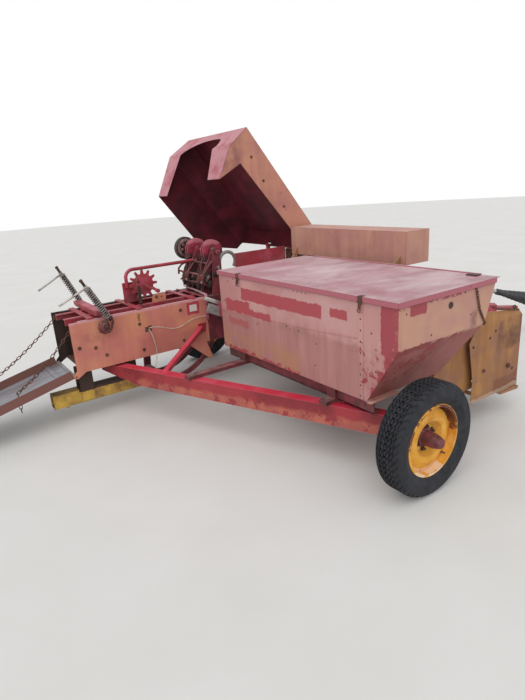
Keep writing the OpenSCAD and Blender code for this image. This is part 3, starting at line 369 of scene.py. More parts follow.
# Soil in soft clouds, and the pale dust that lies on what faces up.
DIRT = Layer(P.CLOUD, "#5e4a40", 160, 0.35, 0.12, 0.35, rough=0.9)
DUST = Layer(P.CLOUD, "#b7a79a", 60, 0.5, 0.15, 0.3, rough=0.95, toward=UP)


def worn(colour: str, cover: float, size: float = 30.0, **more: object) -> Layer:
    """Gives a layer of hard patches where paint has come off."""
    return Layer(P.FLAKE, colour, size, cover, lift=-0.25, rough=0.8, **more)


def rear(y_low: float, z_low: float, y_high: float, z_high: float, ragged: float,
         fade: float = 2.0) -> Area:
    """Gives a window on the twine box's rear face."""
    return Area((-230, y_low, z_low), (-112, y_high, z_high), ragged, fade)


def flank(x_low: float, z_low: float, x_high: float, z_high: float, ragged: float,
          fade: float = 2.0) -> Area:
    """Gives a window on the bale chamber's right side."""
    return Area((x_low, -280, z_low), (x_high, -212, z_high), ragged, fade)


def sheet(x_low: float, z_low: float, x_high: float, z_high: float, ragged: float,
          fade: float = 2.0) -> Area:
    """Gives a window on the pickup's right side sheet."""
    return Area((x_low, -2060, z_low), (x_high, -2040, z_high), ragged, fade)


def beam(y_high: float, z_high: float, ragged: float, fade: float = 2.0) -> Area:
    """Gives a window low on the axle beam, from its right end inwards."""
    return Area((-1000, -2300, 240), (200, y_high, z_high), ragged, fade)


def about_hub(low: float, high: float) -> Ring:
    """Gives a ring about the right wheel's axle, between two radii."""
    return Ring(WHEEL_RIGHT.x, WHEEL_RIGHT.z, low, high)


# The box's right face above and below its crease, the way the hood's rear flange looks, and a
# point in the hood's hollow.
BOX_RIGHT = Area((-139, -2240, 756), (700, -2190, 1010), 4)
BOX_LEAN = Area((-139, -2218, 440), (700, -1990, 754), 5)
HOOD_REAR = (-0.62, 0, 0.78)
HOOD_HOLLOW = (560, 230, 1500)


# Alkyd enamel on pressed steel sheet, faded by years of sun: chalky salmon, with the older crimson
# coat at its worn places and rust where it is bare.
SALMON = Finish("faded_salmon_enamel", "#b98577", 0.64, (
    Layer(P.CLOUD, "#c29378", 300, 0.42, 0.14, 0.8),
    Layer(P.CLOUD, "#a9726c", 170, 0.34, 0.10, 0.6),
    Layer(P.STREAK, "#96605a", 60, 0.22, 0.12, 0.35),
    worn("#9a4248", 0.04, 60),
    worn("#6a3d34", 0.025, 20),
    Layer(P.EDGE, "#8c3b3c", 40, 0.5),
    DUST,
))
# The box's rear face: pinkish above its crease, greyer below, with bands and grazes of the crimson coat
# that show through, and painted shade just under the crease.
BOX_ENAMEL = Finish("faded_box_enamel", "#b98581", 0.64, (
    Layer(P.CLOUD, "#c4958f", 300, 0.45, 0.14, 0.8),
    Layer(P.CLOUD, "#a97472", 240, 0.38, 0.12, 0.7),
    Layer(P.PLAIN, "#a06a66", most=0.75, area=rear(-1990, 440, -600, 742, 22, 14)),
    Layer(P.STREAK, "#b7867f", 120, 0.42, 0.14, 0.6, area=rear(-1990, 440, -600, 742, 20, 20)),
    Layer(P.STREAK, "#8a5654", 60, 0.25, 0.12, 0.4, area=rear(-2200, 440, -600, 800, 20, 30)),
    # A darker cloud just under the crease: painted shade below the fold.
    Layer(P.CLOUD, "#8f6560", 90, 0.4, 0.1, 0.55, area=rear(-1700, 690, -1300, 745, 20, 30)),
    Layer(P.CLOUD, "#b07c58", 200, 0.5, 0.1, 0.7, area=rear(-1500, 440, -640, 600, 30, 40)),
    Layer(P.CLOUD, "#c39a98", 160, 0.5, 0.12, 0.6, area=rear(-1950, 775, -1300, 960, 20, 30)),
    Layer(P.PLAIN, "#a6474d", area=rear(-1700, 836, -917, 914, 8)),
    Layer(P.PLAIN, "#a6474d", area=rear(-1010, 775, -716, 822, 13)),
    Layer(P.PLAIN, "#a6474d", area=rear(-1230, 742, -716, 782, 14)),
    Layer(P.PLAIN, "#a6474d", area=rear(-1895, 865, -1768, 914, 6)),
    worn("#c08f88", 0.10, 50, area=rear(-1660, 820, -1250, 852, 10)),
    worn("#b9827c", 0.05, 30, area=rear(-1450, 846, -1000, 900, 10)),
    worn("#5f3a3a", 0.22, 12, area=rear(-1480, 715, -1390, 745, 10)),
    worn("#5f3a3a", 0.16, 12, area=rear(-2030, 700, -1900, 800, 16)),
    Layer(P.PLAIN, "#a3504f", most=0.8, area=rear(-985, 650, -748, 697, 18, 9)),
    Layer(P.PLAIN, "#9b4148", area=rear(-2230, 735, -2118, 1010, 10)),
    worn("#b98a84", 0.08, 40, area=rear(-2160, 735, -2110, 990, 10)),
    Layer(P.PLAIN, "#9b4148", area=rear(-2190, 640, -2142, 742, 9)),
    Layer(P.PLAIN, "#9b4148", area=rear(-2140, 540, -2100, 650, 9)),
    Layer(P.PLAIN, "#9b4148", area=rear(-2100, 455, -2052, 550, 9)),
    Layer(P.FLAKE, "#a03c44", 60, 0.6, area=rear(-1500, 450, -640, 486, 16)),
    Layer(P.PLAIN, "#bd8b79", most=0.9, area=BOX_RIGHT),
    Layer(P.CLOUD, "#b08078", 190, 0.4, 0.12, 0.6, area=BOX_RIGHT),
    Layer(P.CLOUD, "#c29a78", 150, 0.35, 0.12, 0.6, area=BOX_RIGHT),
    # The right face's leaning lower part: partly its redder paint, partly painted shade because it faces
    # down.
    Layer(P.PLAIN, "#9c5a54", most=0.9, area=BOX_LEAN),
    Layer(P.CLOUD, "#8a4744", 120, 0.4, 0.12, 0.7, area=BOX_LEAN),
    Layer(P.FLAKE, "#93383d", 70, 0.4, area=Area((-139, -2218, 560), (170, -1990, 754), 22)),
    Layer(P.FLAKE, "#93383d", 50, 0.12, area=Area((-139, -2218, 440), (640, -1990, 754), 12)),
    Layer(P.PLAIN, "#9b4148", area=Area((-60, -2260, 920), (60, -2198, 984), 4)),
    Layer(P.PLAIN, "#8f3f42", area=Area((-145, -2260, 742), (110, -2180, 772), 11)),
    Layer(P.FLAKE, "#8f3f42", 60, 0.5, area=Area((-145, -2260, 740), (600, -2190, 766), 10)),
    Layer(P.FLAKE, "#9a484a", 60, 0.5, area=Area((-145, -2260, 962), (330, -2198, 980), 9)),
    Layer(P.PLAIN, "#6b4a40", most=0.6, area=Area((425, -2260, 770), (475, -2198, 850), 18, 14)),
    worn("#6a3d34", 0.03, 18),
    Layer(P.EDGE, "#9a4347", 40, 0.45),
))
# The lid's top has chalked nearly white, in wisps.
LID_ENAMEL = Finish("chalked_lid_enamel", "#b0848a", 0.68, (
    Layer(P.CLOUD, "#c7a9ab", 420, 0.55, 0.16, 0.9, toward=UP, stretch=(0.7, 1.0, 1), swirl=0.8),
    Layer(P.CLOUD, "#9a7376", 260, 0.36, 0.12, 0.7, toward=UP, stretch=(0.6, 1.1, 1), swirl=0.8),
    Layer(P.CLOUD, "#d8c6c7", 200, 0.3, 0.14, 0.6, toward=UP, stretch=(0.6, 1.1, 1), swirl=0.6),
    Layer(P.PLAIN, "#bf7a84", most=0.65, area=Area((-160, -900, 990), (300, -600, 1020), 30, 160)),
    Layer(P.CLOUD, "#a35f67", 160, 0.5, 0.12, 0.7, area=Area((-160, -2260, 990), (60, -900, 1020), 40, 40)),
    Layer(P.PLAIN, "#a9606a", toward=(-1, 0, 0)),
    Layer(P.PLAIN, "#a9606a", toward=(0, -1, 0)),
    worn("#93444e", 0.07, 60),
    worn("#7d5c5c", 0.05, 24, toward=UP),
    Layer(P.EDGE, "#7c343e", 40, 0.6),
    worn("#6a4a44", 0.02, 14),
    Layer(P.PLAIN, "#46302c", area=Area((500, -2160, 1005.5), (620, -2030, 1040), 2, 0.5)),
))
# Faded enamel with runs of dirt, a scuffed pale patch in crimson, rust round the twine's hole, and a
# painted highlight along the top flange.
CHAMBER_ENAMEL = Finish("faded_chamber_enamel", "#c87e6c", 0.62, (
    Layer(P.CLOUD, "#cc8a66", 220, 0.45, 0.12, 0.8),
    Layer(P.CLOUD, "#ba6c68", 150, 0.3, 0.10, 0.6),
    Layer(P.STREAK, "#a55a54", 90, 0.3, 0.14, 0.45),
    Layer(P.PLAIN, "#a85c55", most=0.7, area=flank(-620, 380, -100, 520, 26, 40)),
    Layer(P.CLOUD, "#c48a5c", 110, 0.45, 0.1, 0.6, area=flank(-700, 600, -300, 735, 26, 30)),
    Layer(P.CLOUD, "#8c5a58", 60, 0.4, 0.1, 0.5, area=flank(-1060, 540, -880, 650, 20, 30)),
    # A pale pink strip along the top flange: painted highlight.
    Layer(P.PLAIN, "#cb9294", area=Area((-1120, -280, 728), (-20, -200, 750), 6)),
    Layer(P.PLAIN, "#a63c48", area=flank(-210, 628, -104, 722, 7)),
    Layer(P.PLAIN, "#cfc6bd", area=flank(-188, 652, -126, 702, 3)),
    Layer(P.PLAIN, "#5c4034", area=flank(-566, 566, -512, 612, 9)),
    Layer(P.PLAIN, "#6a4638", most=0.8, area=flank(-606, 662, -588, 714, 7, 4)),
    worn("#a03c40", 0.05, 50),
    worn("#5d352c", 0.03, 16),
    Layer(P.EDGE, "#8f4040", 40, 0.45),
))
# The hood's faded sheet outside, pinker behind, and inside it the unfaded deep red, painted darker and
# clouded near-black as shade in its hollow.
HOOD_ENAMEL = Finish("faded_hood_enamel", "#bd7f6d", 0.62, (
    Layer(P.CLOUD, "#c58c6c", 260, 0.45, 0.12, 0.8),
    Layer(P.CLOUD, "#a96f6a", 150, 0.35, 0.10, 0.7),
    Layer(P.STREAK, "#96605a", 80, 0.3, 0.12, 0.4),
    worn("#9a4a46", 0.05, 50),
    worn("#6a3d34", 0.03, 18),
    Layer(P.EDGE, "#4e2426", 40, 0.6, lift=9.0),
    Layer(P.CLOUD, "#7c4c48", 90, 0.5, 0.1, 0.7, area=Area((90, -340, 1640), (330, -280, 1960), 40, 40)),
    worn("#5a2a2a", 0.08, 30, area=Area((90, -340, 1100), (1081, -280, 1700), 30, 30)),
    Layer(P.PLAIN, "#b97f88", most=0.9, toward=HOOD_REAR),
    Layer(P.CLOUD, "#a0424f", 120, 0.3, 0.1, 0.8, toward=HOOD_REAR),
    worn("#8c3440", 0.12, 40, toward=HOOD_REAR),
    Layer(P.EDGE, "#4e2426", 40, 0.5),
    # Inside the hollow: deep red, partly painted shade, and near-black clouds of painted shade.
    Layer(P.PLAIN, "#5f0d1c", inside=HOOD_HOLLOW, rough=0.7),
    Layer(P.CLOUD, "#3a0812", 300, 0.5, 0.12, 0.8, inside=HOOD_HOLLOW),
    Layer(P.CLOUD, "#7a1c2e", 140, 0.3, 0.10, 0.6, inside=HOOD_HOLLOW),
))
# A later brushed coat of crimson enamel, glossier than the sheet metal's, with a painted pink sky
# reflection on what faces up.
CRIMSON = Finish("brushed_crimson_enamel", "#a22c3a", 0.5, (
    Layer(P.CLOUD, "#8a2c34", 120, 0.42, 0.10),
    Layer(P.CLOUD, "#b85468", 100, 0.28, 0.08, 0.6),
    # Pink clouds on what faces up: painted reflection of the sky.
    Layer(P.CLOUD, "#c45c6e", 70, 0.6, 0.2, 0.5, toward=UP),
    worn("#5b2a26", 0.06, 30),
    worn("#9a7a6c", 0.02, 12),
    Layer(P.EDGE, "#b06a68", 30, 0.4),
    DIRT,
))
# The same coat on the beam: painted brighter on top with a painted pink highlight, and chalked to salmon
# low on its side.
BEAM_ENAMEL = Finish("brushed_beam_enamel", "#9c2f36", 0.5, (
    Layer(P.CLOUD, "#7e2229", 260, 0.5, 0.10),
    Layer(P.PLAIN, "#a85f50", most=0.7, area=beam(-560, 296, 16, 8)),
    Layer(P.CLOUD, "#b4604c", 90, 0.4, 0.07, 0.8, area=beam(-300, 306, 22, 10)),
    Layer(P.FLAKE, "#8e2c32", 70, 0.32, area=beam(100, 330, 22, 10)),
    # Brighter crimson and pink clouds on the top face: painted highlight of the sky.
    Layer(P.PLAIN, "#c32a40", rough=0.45, toward=UP),
    Layer(P.CLOUD, "#d0566a", 150, 0.4, 0.12, 0.6, toward=UP),
    worn("#6b2f28", 0.06, 50),
    worn("#a5745a", 0.03, 16),
    Layer(P.EDGE, "#cf6a78", 30, 0.4),
))
# Enamel under grease and dust, which leave it a dull dark red.
DARK_RED = Finish("grimy_crimson_enamel", "#6e2430", 0.58, (
    Layer(P.CLOUD, "#4c2426", 120, 0.5, 0.12),
    Layer(P.CLOUD, "#8d3442", 80, 0.3, 0.08, 0.7),
    worn("#3a221e", 0.12, 40),
    Layer(P.EDGE, "#9a6a64", 30, 0.4),
    DIRT, DUST,
))
# Mill scale and old oil on bare steel: nearly black and half dull, rusting at its edges. On the chamber's
# left side, whose inner face is seen in shadow, its near-black is partly painted shade.
BLACK = Finish("oily_black_steel_and_painted_shade", "#1e1715", 0.55, (
    Layer(P.CLOUD, "#32251f", 120, 0.45, 0.12),
    Layer(P.STREAK, "#432e26", 60, 0.25, 0.08, 0.7),
    worn("#563828", 0.05, 30),
    Layer(P.EDGE, "#6a5148", 30, 0.4),
))
# Steel rusted all over, matt and gritty, with paler scale standing up from it.
RUST = Finish("rusted_steel", "#553a2f", 0.85, (
    Layer(P.CLOUD, "#704836", 40, 0.45, 0.10),
    Layer(P.CLOUD, "#36251f", 60, 0.35, 0.10, 0.8),
    Layer(P.FLAKE, "#8a6a58", 16, 0.10, lift=0.2),
), grain=1.2, grain_depth=0.4)
# Wax-yellow primer showing through a rust film.
OCHRE = Finish("rust_stained_sheet", "#a5733f", 0.72, (
    Layer(P.CLOUD, "#b58450", 200, 0.45, 0.12, 0.9),
    Layer(P.STREAK, "#8c5a34", 100, 0.42, 0.12, 0.7),
    Layer(P.CLOUD, "#8a5f4c", 160, 0.45, 0.12, 0.7),
    Layer(P.PLAIN, "#7c4c38", most=0.85, area=Area((980, -2070, 140), (1300, -2030, 268), 20, 12)),
    Layer(P.CLOUD, "#643a2c", 130, 0.6, 0.12, 0.9, area=sheet(1010, 460, 1300, 660, 36, 20)),
    Layer(P.PLAIN, "#4f342b", most=0.75, area=sheet(1128, 490, 1270, 592, 30, 14)),
    Layer(P.PLAIN, "#b49a84", most=0.7, area=sheet(700, 170, 1300, 196, 8)),
    worn("#4a2c20", 0.04, 24),
    Layer(P.EDGE, "#a3968b", 30, 0.45),
))
# Steel that bales have polished, streaked along their way, with duller brown sides.
CHUTE_STEEL = Finish("polished_chute_steel", "#83848c", 0.45, (
    Layer(P.CLOUD, "#97979d", 200, 0.45, 0.14, stretch=(0.3, 1.4, 1)),
    Layer(P.CLOUD, "#6d6668", 120, 0.4, 0.10, 0.8, stretch=(0.3, 1.6, 1)),
    Layer(P.CLOUD, "#75604f", 160, 0.3, 0.08, 0.6, stretch=(0.4, 1.4, 1)),
    Layer(P.PLAIN, "#5e322c", toward=(0, 1, 0), rough=0.7),
    Layer(P.PLAIN, "#7a5148", toward=(0, -1, 0), rough=0.7),
    worn("#5a3a30", 0.06, 26),
    Layer(P.EDGE, "#70483c", 30, 0.5),
), metallic=0.15)
# Enamel on the wheel discs, worn to cream low on the rim and to rust high on it.
YELLOW = Finish("worn_yellow_enamel", "#e0a02e", 0.6, (
    Layer(P.CLOUD, "#cf8a28", 90, 0.40, 0.10, 0.8),
    Layer(P.CLOUD, "#e8b45a", 60, 0.3, 0.08, 0.7),
    Layer(P.FLAKE, "#ecc9a2", 60, 0.8, ring=about_hub(158, 194),
          area=Area((-200, -2360, 90), (96, -2270, 178), 10)),
    Layer(P.FLAKE, "#5c2f1c", 60, 0.85, ring=about_hub(160, 187),
          area=Area((50, -2360, 350), (230, -2270, 500), 16)),
    Layer(P.FLAKE, "#7a4422", 50, 0.45, ring=about_hub(172, 192),
          area=Area((-180, -2360, 300), (230, -2270, 500), 16)),
    worn("#7a4422", 0.025, 16),
    Layer(P.EDGE, "#a8683a", 20, 0.35),
))
# The hitch tube's yellow, with its clamps gone brown.
OLD_YELLOW = Finish("grimy_yellow_enamel", "#b8943c", 0.6, (
    Layer(P.CLOUD, "#8f6c3c", 90, 0.42, 0.10),
    Layer(P.CLOUD, "#cda746", 80, 0.3, 0.08, 0.8),
    worn("#4f3428", 0.10, 40),
    Layer(P.EDGE, "#5d4030", 30, 0.4),
    Layer(P.PLAIN, "#3d2b25", area=Area((-1080, -170, 216), (-600, -30, 390), 3), rough=0.8),
))
# Weathered tyre rubber: carbon black greyed by ozone, with chalk and soil in the tread.
RUBBER = Finish("weathered_rubber", "#191a1f", 0.85, (
    Layer(P.CLOUD, "#23242b", 60, 0.5, 0.12),
    Layer(P.CLOUD, "#2b2d33", 90, 0.6, 0.12, 0.8, ring=about_hub(190, 284)),
    Layer(P.CLOUD, "#3b3939", 45, 0.2, 0.08, 0.5),
    Layer(P.FLAKE, "#85868c", 11, 0.035),
), grain=1.5, grain_depth=0.3)
# Steel rubbed bright by hands, dulled here and there.
BARE = Finish("handled_steel", "#b5b0aa", 0.42, (
    Layer(P.CLOUD, "#8a827b", 40, 0.4, 0.10),
    worn("#6a4a3a", 0.06, 14),
), metallic=0.45)
# Drawn spring steel: grey and half bright, clouded by dark oil.
SPRING = Finish("oiled_spring_steel", "#8d8580", 0.45, (
    Layer(P.CLOUD, "#4a423e", 30, 0.35, 0.10, 0.8),
    worn("#5d4234", 0.08, 10),
), metallic=0.35)
# Blown polyethylene, satin black with grey scuffs.
PLASTIC = Finish("scuffed_black_polyethylene", "#26272a", 0.5, (
    Layer(P.CLOUD, "#37393c", 80, 0.4, 0.12),
    worn("#57585a", 0.04, 14),
))
# The trip arm's brushed coat, with the crimson coat's painted sky reflection on top, and its bare dark
# strap.
TRIP_ENAMEL = Finish("brushed_trip_enamel", CRIMSON.colour, CRIMSON.rough, CRIMSON.layers + (
    Layer(P.PLAIN, "#3c2824", area=Area((-540, -120, 740), (-492, -90, 892), 3), rough=0.8),
))
# The knotter cams: red, with a painted highlight along their tops, pale worn rims that also stand as
# painted highlights, and near-black below the shaft.
CAM_ENAMEL = Finish("cam_enamel_painted_highlight", "#8e1f34", 0.5, (
    Layer(P.CLOUD, "#5d1826", 60, 0.5, 0.12, 0.8),
    # A pale band along the cams' tops: painted highlight.
    Layer(P.PLAIN, "#b0606c", most=0.8, area=Area((-20, -260, 1130), (200, 330, 1180), 10, 8)),
    Layer(P.PLAIN, "#33191c", most=0.9, area=Area((-20, -280, 970), (200, 330, 1048), 14, 16)),
    worn("#c79a9c", 0.07, 24),
    # Pale rims: worn, and also painted highlights.
    Layer(P.EDGE, "#cf9aa0", 24, 0.75),
))
# A wiped, rubbed clutch face.
CLUTCH = Finish("rubbed_clutch_face", "#9c7d79", 0.5, (
    Layer(P.CLOUD, "#6b4a4a", 40, 0.45, 0.12),
))
# Weathered grey casting with a little rust.
CAST = Finish("weathered_casting", "#77706f", 0.6, (
    Layer(P.CLOUD, "#8e8685", 60, 0.45, 0.1),
    worn("#5b3f38", 0.12, 20),
))
# Enamel under hub grease, dull red with paler rubbed spots.
HUB_RED = Finish("greasy_hub_enamel", "#753640", 0.5, (
    Layer(P.CLOUD, "#552c2a", 30, 0.45, 0.10),
    worn("#8b6a68", 0.10, 14),
))
# Sisal gone grey-white outdoors.
SISAL = Finish("weathered_sisal", "#cfc4b4", 0.9, (
    Layer(P.CLOUD, "#a5957f", 12, 0.4, 0.10),
), grain=3.0, grain_depth=0.8)

# Finishes of single nodes. Every other node takes its slot's.
NODE_FINISH: Dict[str, Finish] = {
    "hood": HOOD_ENAMEL, "twine_box": BOX_ENAMEL, "box_lid": LID_ENAMEL, "chamber_right": CHAMBER_ENAMEL,
    # chamber_left takes the near-black steel partly as painted shade: its inner face is seen in shadow.
    "feeder_housing": SALMON, "axle_beam": BEAM_ENAMEL, "chamber_left": BLACK, "bale_chute": CHUTE_STEEL,
    "wheel_right_rim": YELLOW, "wheel_left_rim": YELLOW, "rear_hitch_tube": OLD_YELLOW,
    "shaft_guard": PLASTIC, "pickup_frame": OCHRE, "stripper_bands": OCHRE, "feeder_walls": OCHRE,
    "knotter_frames": DARK_RED, "knotter_shaft": CAM_ENAMEL, "trip_tube": TRIP_ENAMEL,
}
SLOT_FINISH: Dict[str, Finish] = {
    "salmon_sheet": SALMON, "crimson_steel": CRIMSON, "dark_red_steel": DARK_RED, "black_steel": BLACK,
    "rusty_steel": RUST, "rusty_sheet": OCHRE, "grey_sheet": CHUTE_STEEL, "bare_steel": BARE,
    "yellow_paint": YELLOW, "tyre_rubber": RUBBER, "black_plastic": PLASTIC, "white_twine": SISAL,
}


class Paintshop:
    """Makes each finish once and hands it out."""

    def __init__(self) -> None:
        """Starts with no materials."""
        self.made: Dict[str, bpy.types.Material] = {}

    def material(self, finish: Finish) -> bpy.types.Material:
        """Gives the material of a finish, made at its first use."""
        if finish.name not in self.made:
            self.made[finish.name] = finish.build()
        return self.made[finish.name]

    def dress_frame(self) -> None:
        """Gives every CAD node its finish."""
        slots = self.slot_of_nodes()
        for name, node in frame["nodes"].items():
            finish = NODE_FINISH.get(name) or SLOT_FINISH.get(slots.get(name, ""), RUST)
            material = self.material(finish)
            if not node.material_slots:
                node.data.materials.append(material)
            for slot in node.material_slots:
                slot.material = material
        log.info("finishes on %d nodes", len(frame["nodes"]))

    @staticmethod
    def slot_of_nodes() -> Dict[str, str]:
        """Reads which material slot of the record each node belongs to.

        Returns:
            Slot name by node name.
        """
        return {part["node"]: part["material_slot"] for part in frame["record"]["subparts"]}


SHOP = Paintshop()


def aim(origin: Sequence[float], direction: Sequence[float]) -> Matrix:
    """Gives the matrix that takes Z to a direction, at a point."""
    turn = Vector(direction).to_track_quat("Z", "Y").to_matrix().to_4x4()
    return Matrix.Translation(Vector(origin)) @ turn


class Shape:
    """A mesh in the making, in the machine's millimetres."""

    def __init__(self) -> None:
        """Starts an empty mesh."""
        self.mesh = bmesh.new()

    def soften(self, verts: Iterable[bmesh.types.BMVert], width: float) -> None:
        """Bevels the edges of the newest verts.

        Args:
            verts: the verts that were just made.
            width: how wide the bevel is. 0 leaves the edges sharp.
        """
        if width > 0:
            edges = list({e for v in verts if v.is_valid for e in v.link_edges})
            bmesh.ops.bevel(self.mesh, geom=edges, offset=width, offset_type="OFFSET", segments=2,
                            profile=0.5, affect="EDGES", material=-1, clamp_overlap=True)

    def block(self, low: Point, high: Point, edge: float = 0.0) -> "Shape":
        """Adds a block.

        Args:
            low: its lowest corner.
            high: its highest corner.
            edge: how far its edges are broken.

        Returns:
            The shape itself.
        """
        low_v, high_v = Vector(low), Vector(high)
        matrix = Matrix.Translation((low_v + high_v) / 2) @ Matrix.Diagonal((high_v - low_v)).to_4x4()
        self.soften(bmesh.ops.create_cube(self.mesh, size=1.0, matrix=matrix)["verts"], edge)
        return self

    def bar(self, a: Point, b: Point, wide: float, thick: float, edge: float = 0.0,
            up: Point = (0, 0, 1)) -> "Shape":
        """Adds a flat bar.

        Args:
            a: where it starts.
            b: where it ends.
            wide: its size towards up.
            thick: its size across.
            edge: how far its edges are broken.
            up: the direction of its width.

        Returns:
            The shape itself.
        """
        a_v, b_v = Vector(a), Vector(b)
        along = (b_v - a_v).normalized()
        across = along.cross(Vector(up)).normalized()
        rise = across.cross(along)
        turn = Matrix((along, across, rise)).transposed().to_4x4()
        size = Matrix.Diagonal(((b_v - a_v).length, thick, wide, 1))
        matrix = Matrix.Translation((a_v + b_v) / 2) @ turn @ size
        self.soften(bmesh.ops.create_cube(self.mesh, size=1.0, matrix=matrix)["verts"], edge)
        return self

    def rod(self, a: Point, b: Point, radius: float, sides: int = 16, end: Optional[float] = None,
            edge: float = 0.0) -> "Shape":
        """Adds a round bar or a cone.

        Args:
            a: where it starts.
            b: where it ends.
            radius: its radius.
            sides: how many faces go round.
            end: its radius at b, where that is another.
            edge: how far its edges are broken.

        Returns:
            The shape itself.
        """
        a_v, b_v = Vector(a), Vector(b)
        made = bmesh.ops.create_cone(
            self.mesh, cap_ends=True, cap_tris=False, segments=sides, radius1=radius,
            radius2=radius if end is None else end, depth=(b_v - a_v).length,
            matrix=aim((a_v + b_v) / 2, b_v - a_v))["verts"]
        self.soften(made, edge)
        return self

    def dome(self, at: Point, toward: Point, radius: float, height: float) -> "Shape":
        """Adds a rivet's round head, of a radius and a height, at a point."""
        matrix = aim(at, toward) @ Matrix.Diagonal((radius, radius, height, 1))
        bmesh.ops.create_uvsphere(self.mesh, u_segments=10, v_segments=6, radius=1.0, matrix=matrix)
        return self

    def bolt(self, at: Point, toward: Point, size: float = 9.0) -> "Shape":
        """Adds a hexagon head on its washer.

        Args:
            at: where it lies on the surface.
            toward: the surface's outward direction.
            size: the head's radius.

        Returns:
            The shape itself.
        """
        at_v, out = Vector(at), Vector(toward).normalized()
        self.rod(at_v - out * 2, at_v + out * 2, size * 1.45, 14)
        self.rod(at_v, at_v + out * size * 0.8, size, 6, edge=size * 0.08)
        return self

    def turned(self, outline: Sequence[Tuple[float, float]], at: Point, axis: Point,
               steps: int = 48) -> "Shape":
        """Turns an outline of (radius, place along the axis) round the axis.

        Args:
            outline: points of the section, from one end to the other.
            at: where the axis starts.
            axis: its direction.
            steps: how many faces go round.

        Returns:
            The shape itself.
        """
        matrix = aim(at, axis)
        verts = [self.mesh.verts.new(matrix @ Vector((r, 0, z))) for r, z in outline]
        edges = [self.mesh.edges.new(pair) for pair in zip(verts, verts[1:])]
        bmesh.ops.spin(self.mesh, geom=verts + edges, cent=Vector(at), axis=Vector(axis).normalized(),
                       angle=2 * pi, steps=steps, use_merge=True)
        bmesh.ops.remove_doubles(self.mesh, verts=list(self.mesh.verts), dist=0.01)
        return self

    def ring(self, at: Point, axis: Point, radius: float, wire: float, steps: int = 28, sides: int = 8,
             stretch: float = 0.0, along: Point = (1, 0, 0)) -> "Shape":
        """Adds a ring of round wire, or a chain link.

        Args:
            at: its centre.
            axis: the direction that it goes round.
            radius: its radius, to the middle of the wire.
            wire: the wire's radius.
            steps: how many faces go round.
            sides: how many faces the wire has.
            stretch: how much longer a link is than a ring.
            along: the direction of a link's length.

        Returns:
            The shape itself.
        """
        axis_v = Vector(axis).normalized()
        start = axis_v.orthogonal().normalized()
        tangent = axis_v.cross(start)
        centre = Vector(at) + start * radius
        verts = bmesh.ops.create_circle(self.mesh, cap_ends=False, segments=sides, radius=wire,
                                        matrix=aim(centre, tangent))["verts"]
        edges = list({e for v in verts for e in v.link_edges})
        before = set(self.mesh.verts) - set(verts)
        bmesh.ops.spin(self.mesh, geom=verts + edges, cent=Vector(at), axis=axis_v, angle=2 * pi,
                       steps=steps, use_merge=True)
        if stretch:
            way = Vector(along).normalized()
            for vert in set(self.mesh.verts) - before:
                side = (vert.co - Vector(at)).dot(way)
                if abs(side) > 0.01:
                    vert.co += way * (stretch / 2 if side > 0 else -stretch / 2)
        return self

    def coil(self, a: Point, b: Point, radius: float, wire: float, turns: float,
             sides: int = 7) -> "Shape":
        """Adds a helical spring.

        Args:
            a: where its axis starts.
            b: where its axis ends.
            radius: its radius, to the middle of the wire.
            wire: the wire's radius.
            turns: how often it goes round.
            sides: how many faces the wire has.

        Returns:
            The shape itself.
        """
        a_v, b_v = Vector(a), Vector(b)
        axis = (b_v - a_v).normalized()
        start = axis.orthogonal().normalized()
        steps = int(turns * 16)
        verts = bmesh.ops.create_circle(self.mesh, cap_ends=False, segments=sides, radius=wire,
                                        matrix=aim(a_v + start * radius, axis.cross(start)))["verts"]
        edges = list({e for v in verts for e in v.link_edges})
        bmesh.ops.spin(self.mesh, geom=verts + edges, cent=a_v, axis=axis, dvec=(b_v - a_v) / steps,
                       angle=2 * pi * turns, steps=steps)
        bmesh.ops.holes_fill(self.mesh, edges=[e for e in self.mesh.edges if e.is_boundary], sides=sides)
        return self

    def copies(self, moves: Sequence[Point]) -> "Shape":
        """Adds a moved copy of all that is there so far.

        Args:
            moves: how far each copy is moved.

        Returns:
            The shape itself.
        """
        first = list(self.mesh.verts) + list(self.mesh.edges) + list(self.mesh.faces)
        for move in moves:
            made = bmesh.ops.duplicate(self.mesh, geom=first)["geom"]
            verts = [g for g in made if isinstance(g, bmesh.types.BMVert)]
            bmesh.ops.translate(self.mesh, vec=Vector(move), verts=verts)
        return self

    def tube(self, route: Sequence[Point], radius: float, sides: int = 10) -> "Shape":
        """Adds a round tube or wire.

        Args:
            route: the points that it follows.
            radius: its radius.
            sides: how many faces go round.

        Returns:
            The shape itself.
        """
        points = [Vector(p) for p in route]
        ways = [(b - a).normalized() for a, b in zip(points, points[1:])]
        made = bmesh.ops.create_circle(self.mesh, cap_ends=True, segments=sides, radius=radius,
                                       matrix=aim(points[0], ways[0]))["verts"]
        ring = [e for e in {e for v in made for e in v.link_edges} if len(e.link_faces) == 1]
        normal = ways[0]
        for i in range(1, len(points)):
            step = bmesh.ops.extrude_edge_only(self.mesh, edges=ring)["geom"]
            verts = [g for g in step if isinstance(g, bmesh.types.BMVert)]
            ring = [g for g in step if isinstance(g, bmesh.types.BMEdge)]
            bmesh.ops.translate(self.mesh, vec=points[i] - points[i - 1], verts=verts)
            after = (ways[i - 1] + ways[min(i, len(ways) - 1)]).normalized()
            turn = normal.rotation_difference(after).to_matrix()
            bmesh.ops.rotate(self.mesh, cent=points[i], matrix=turn, verts=verts)
            normal = after
        bmesh.ops.holes_fill(self.mesh, edges=ring, sides=sides)
        return self

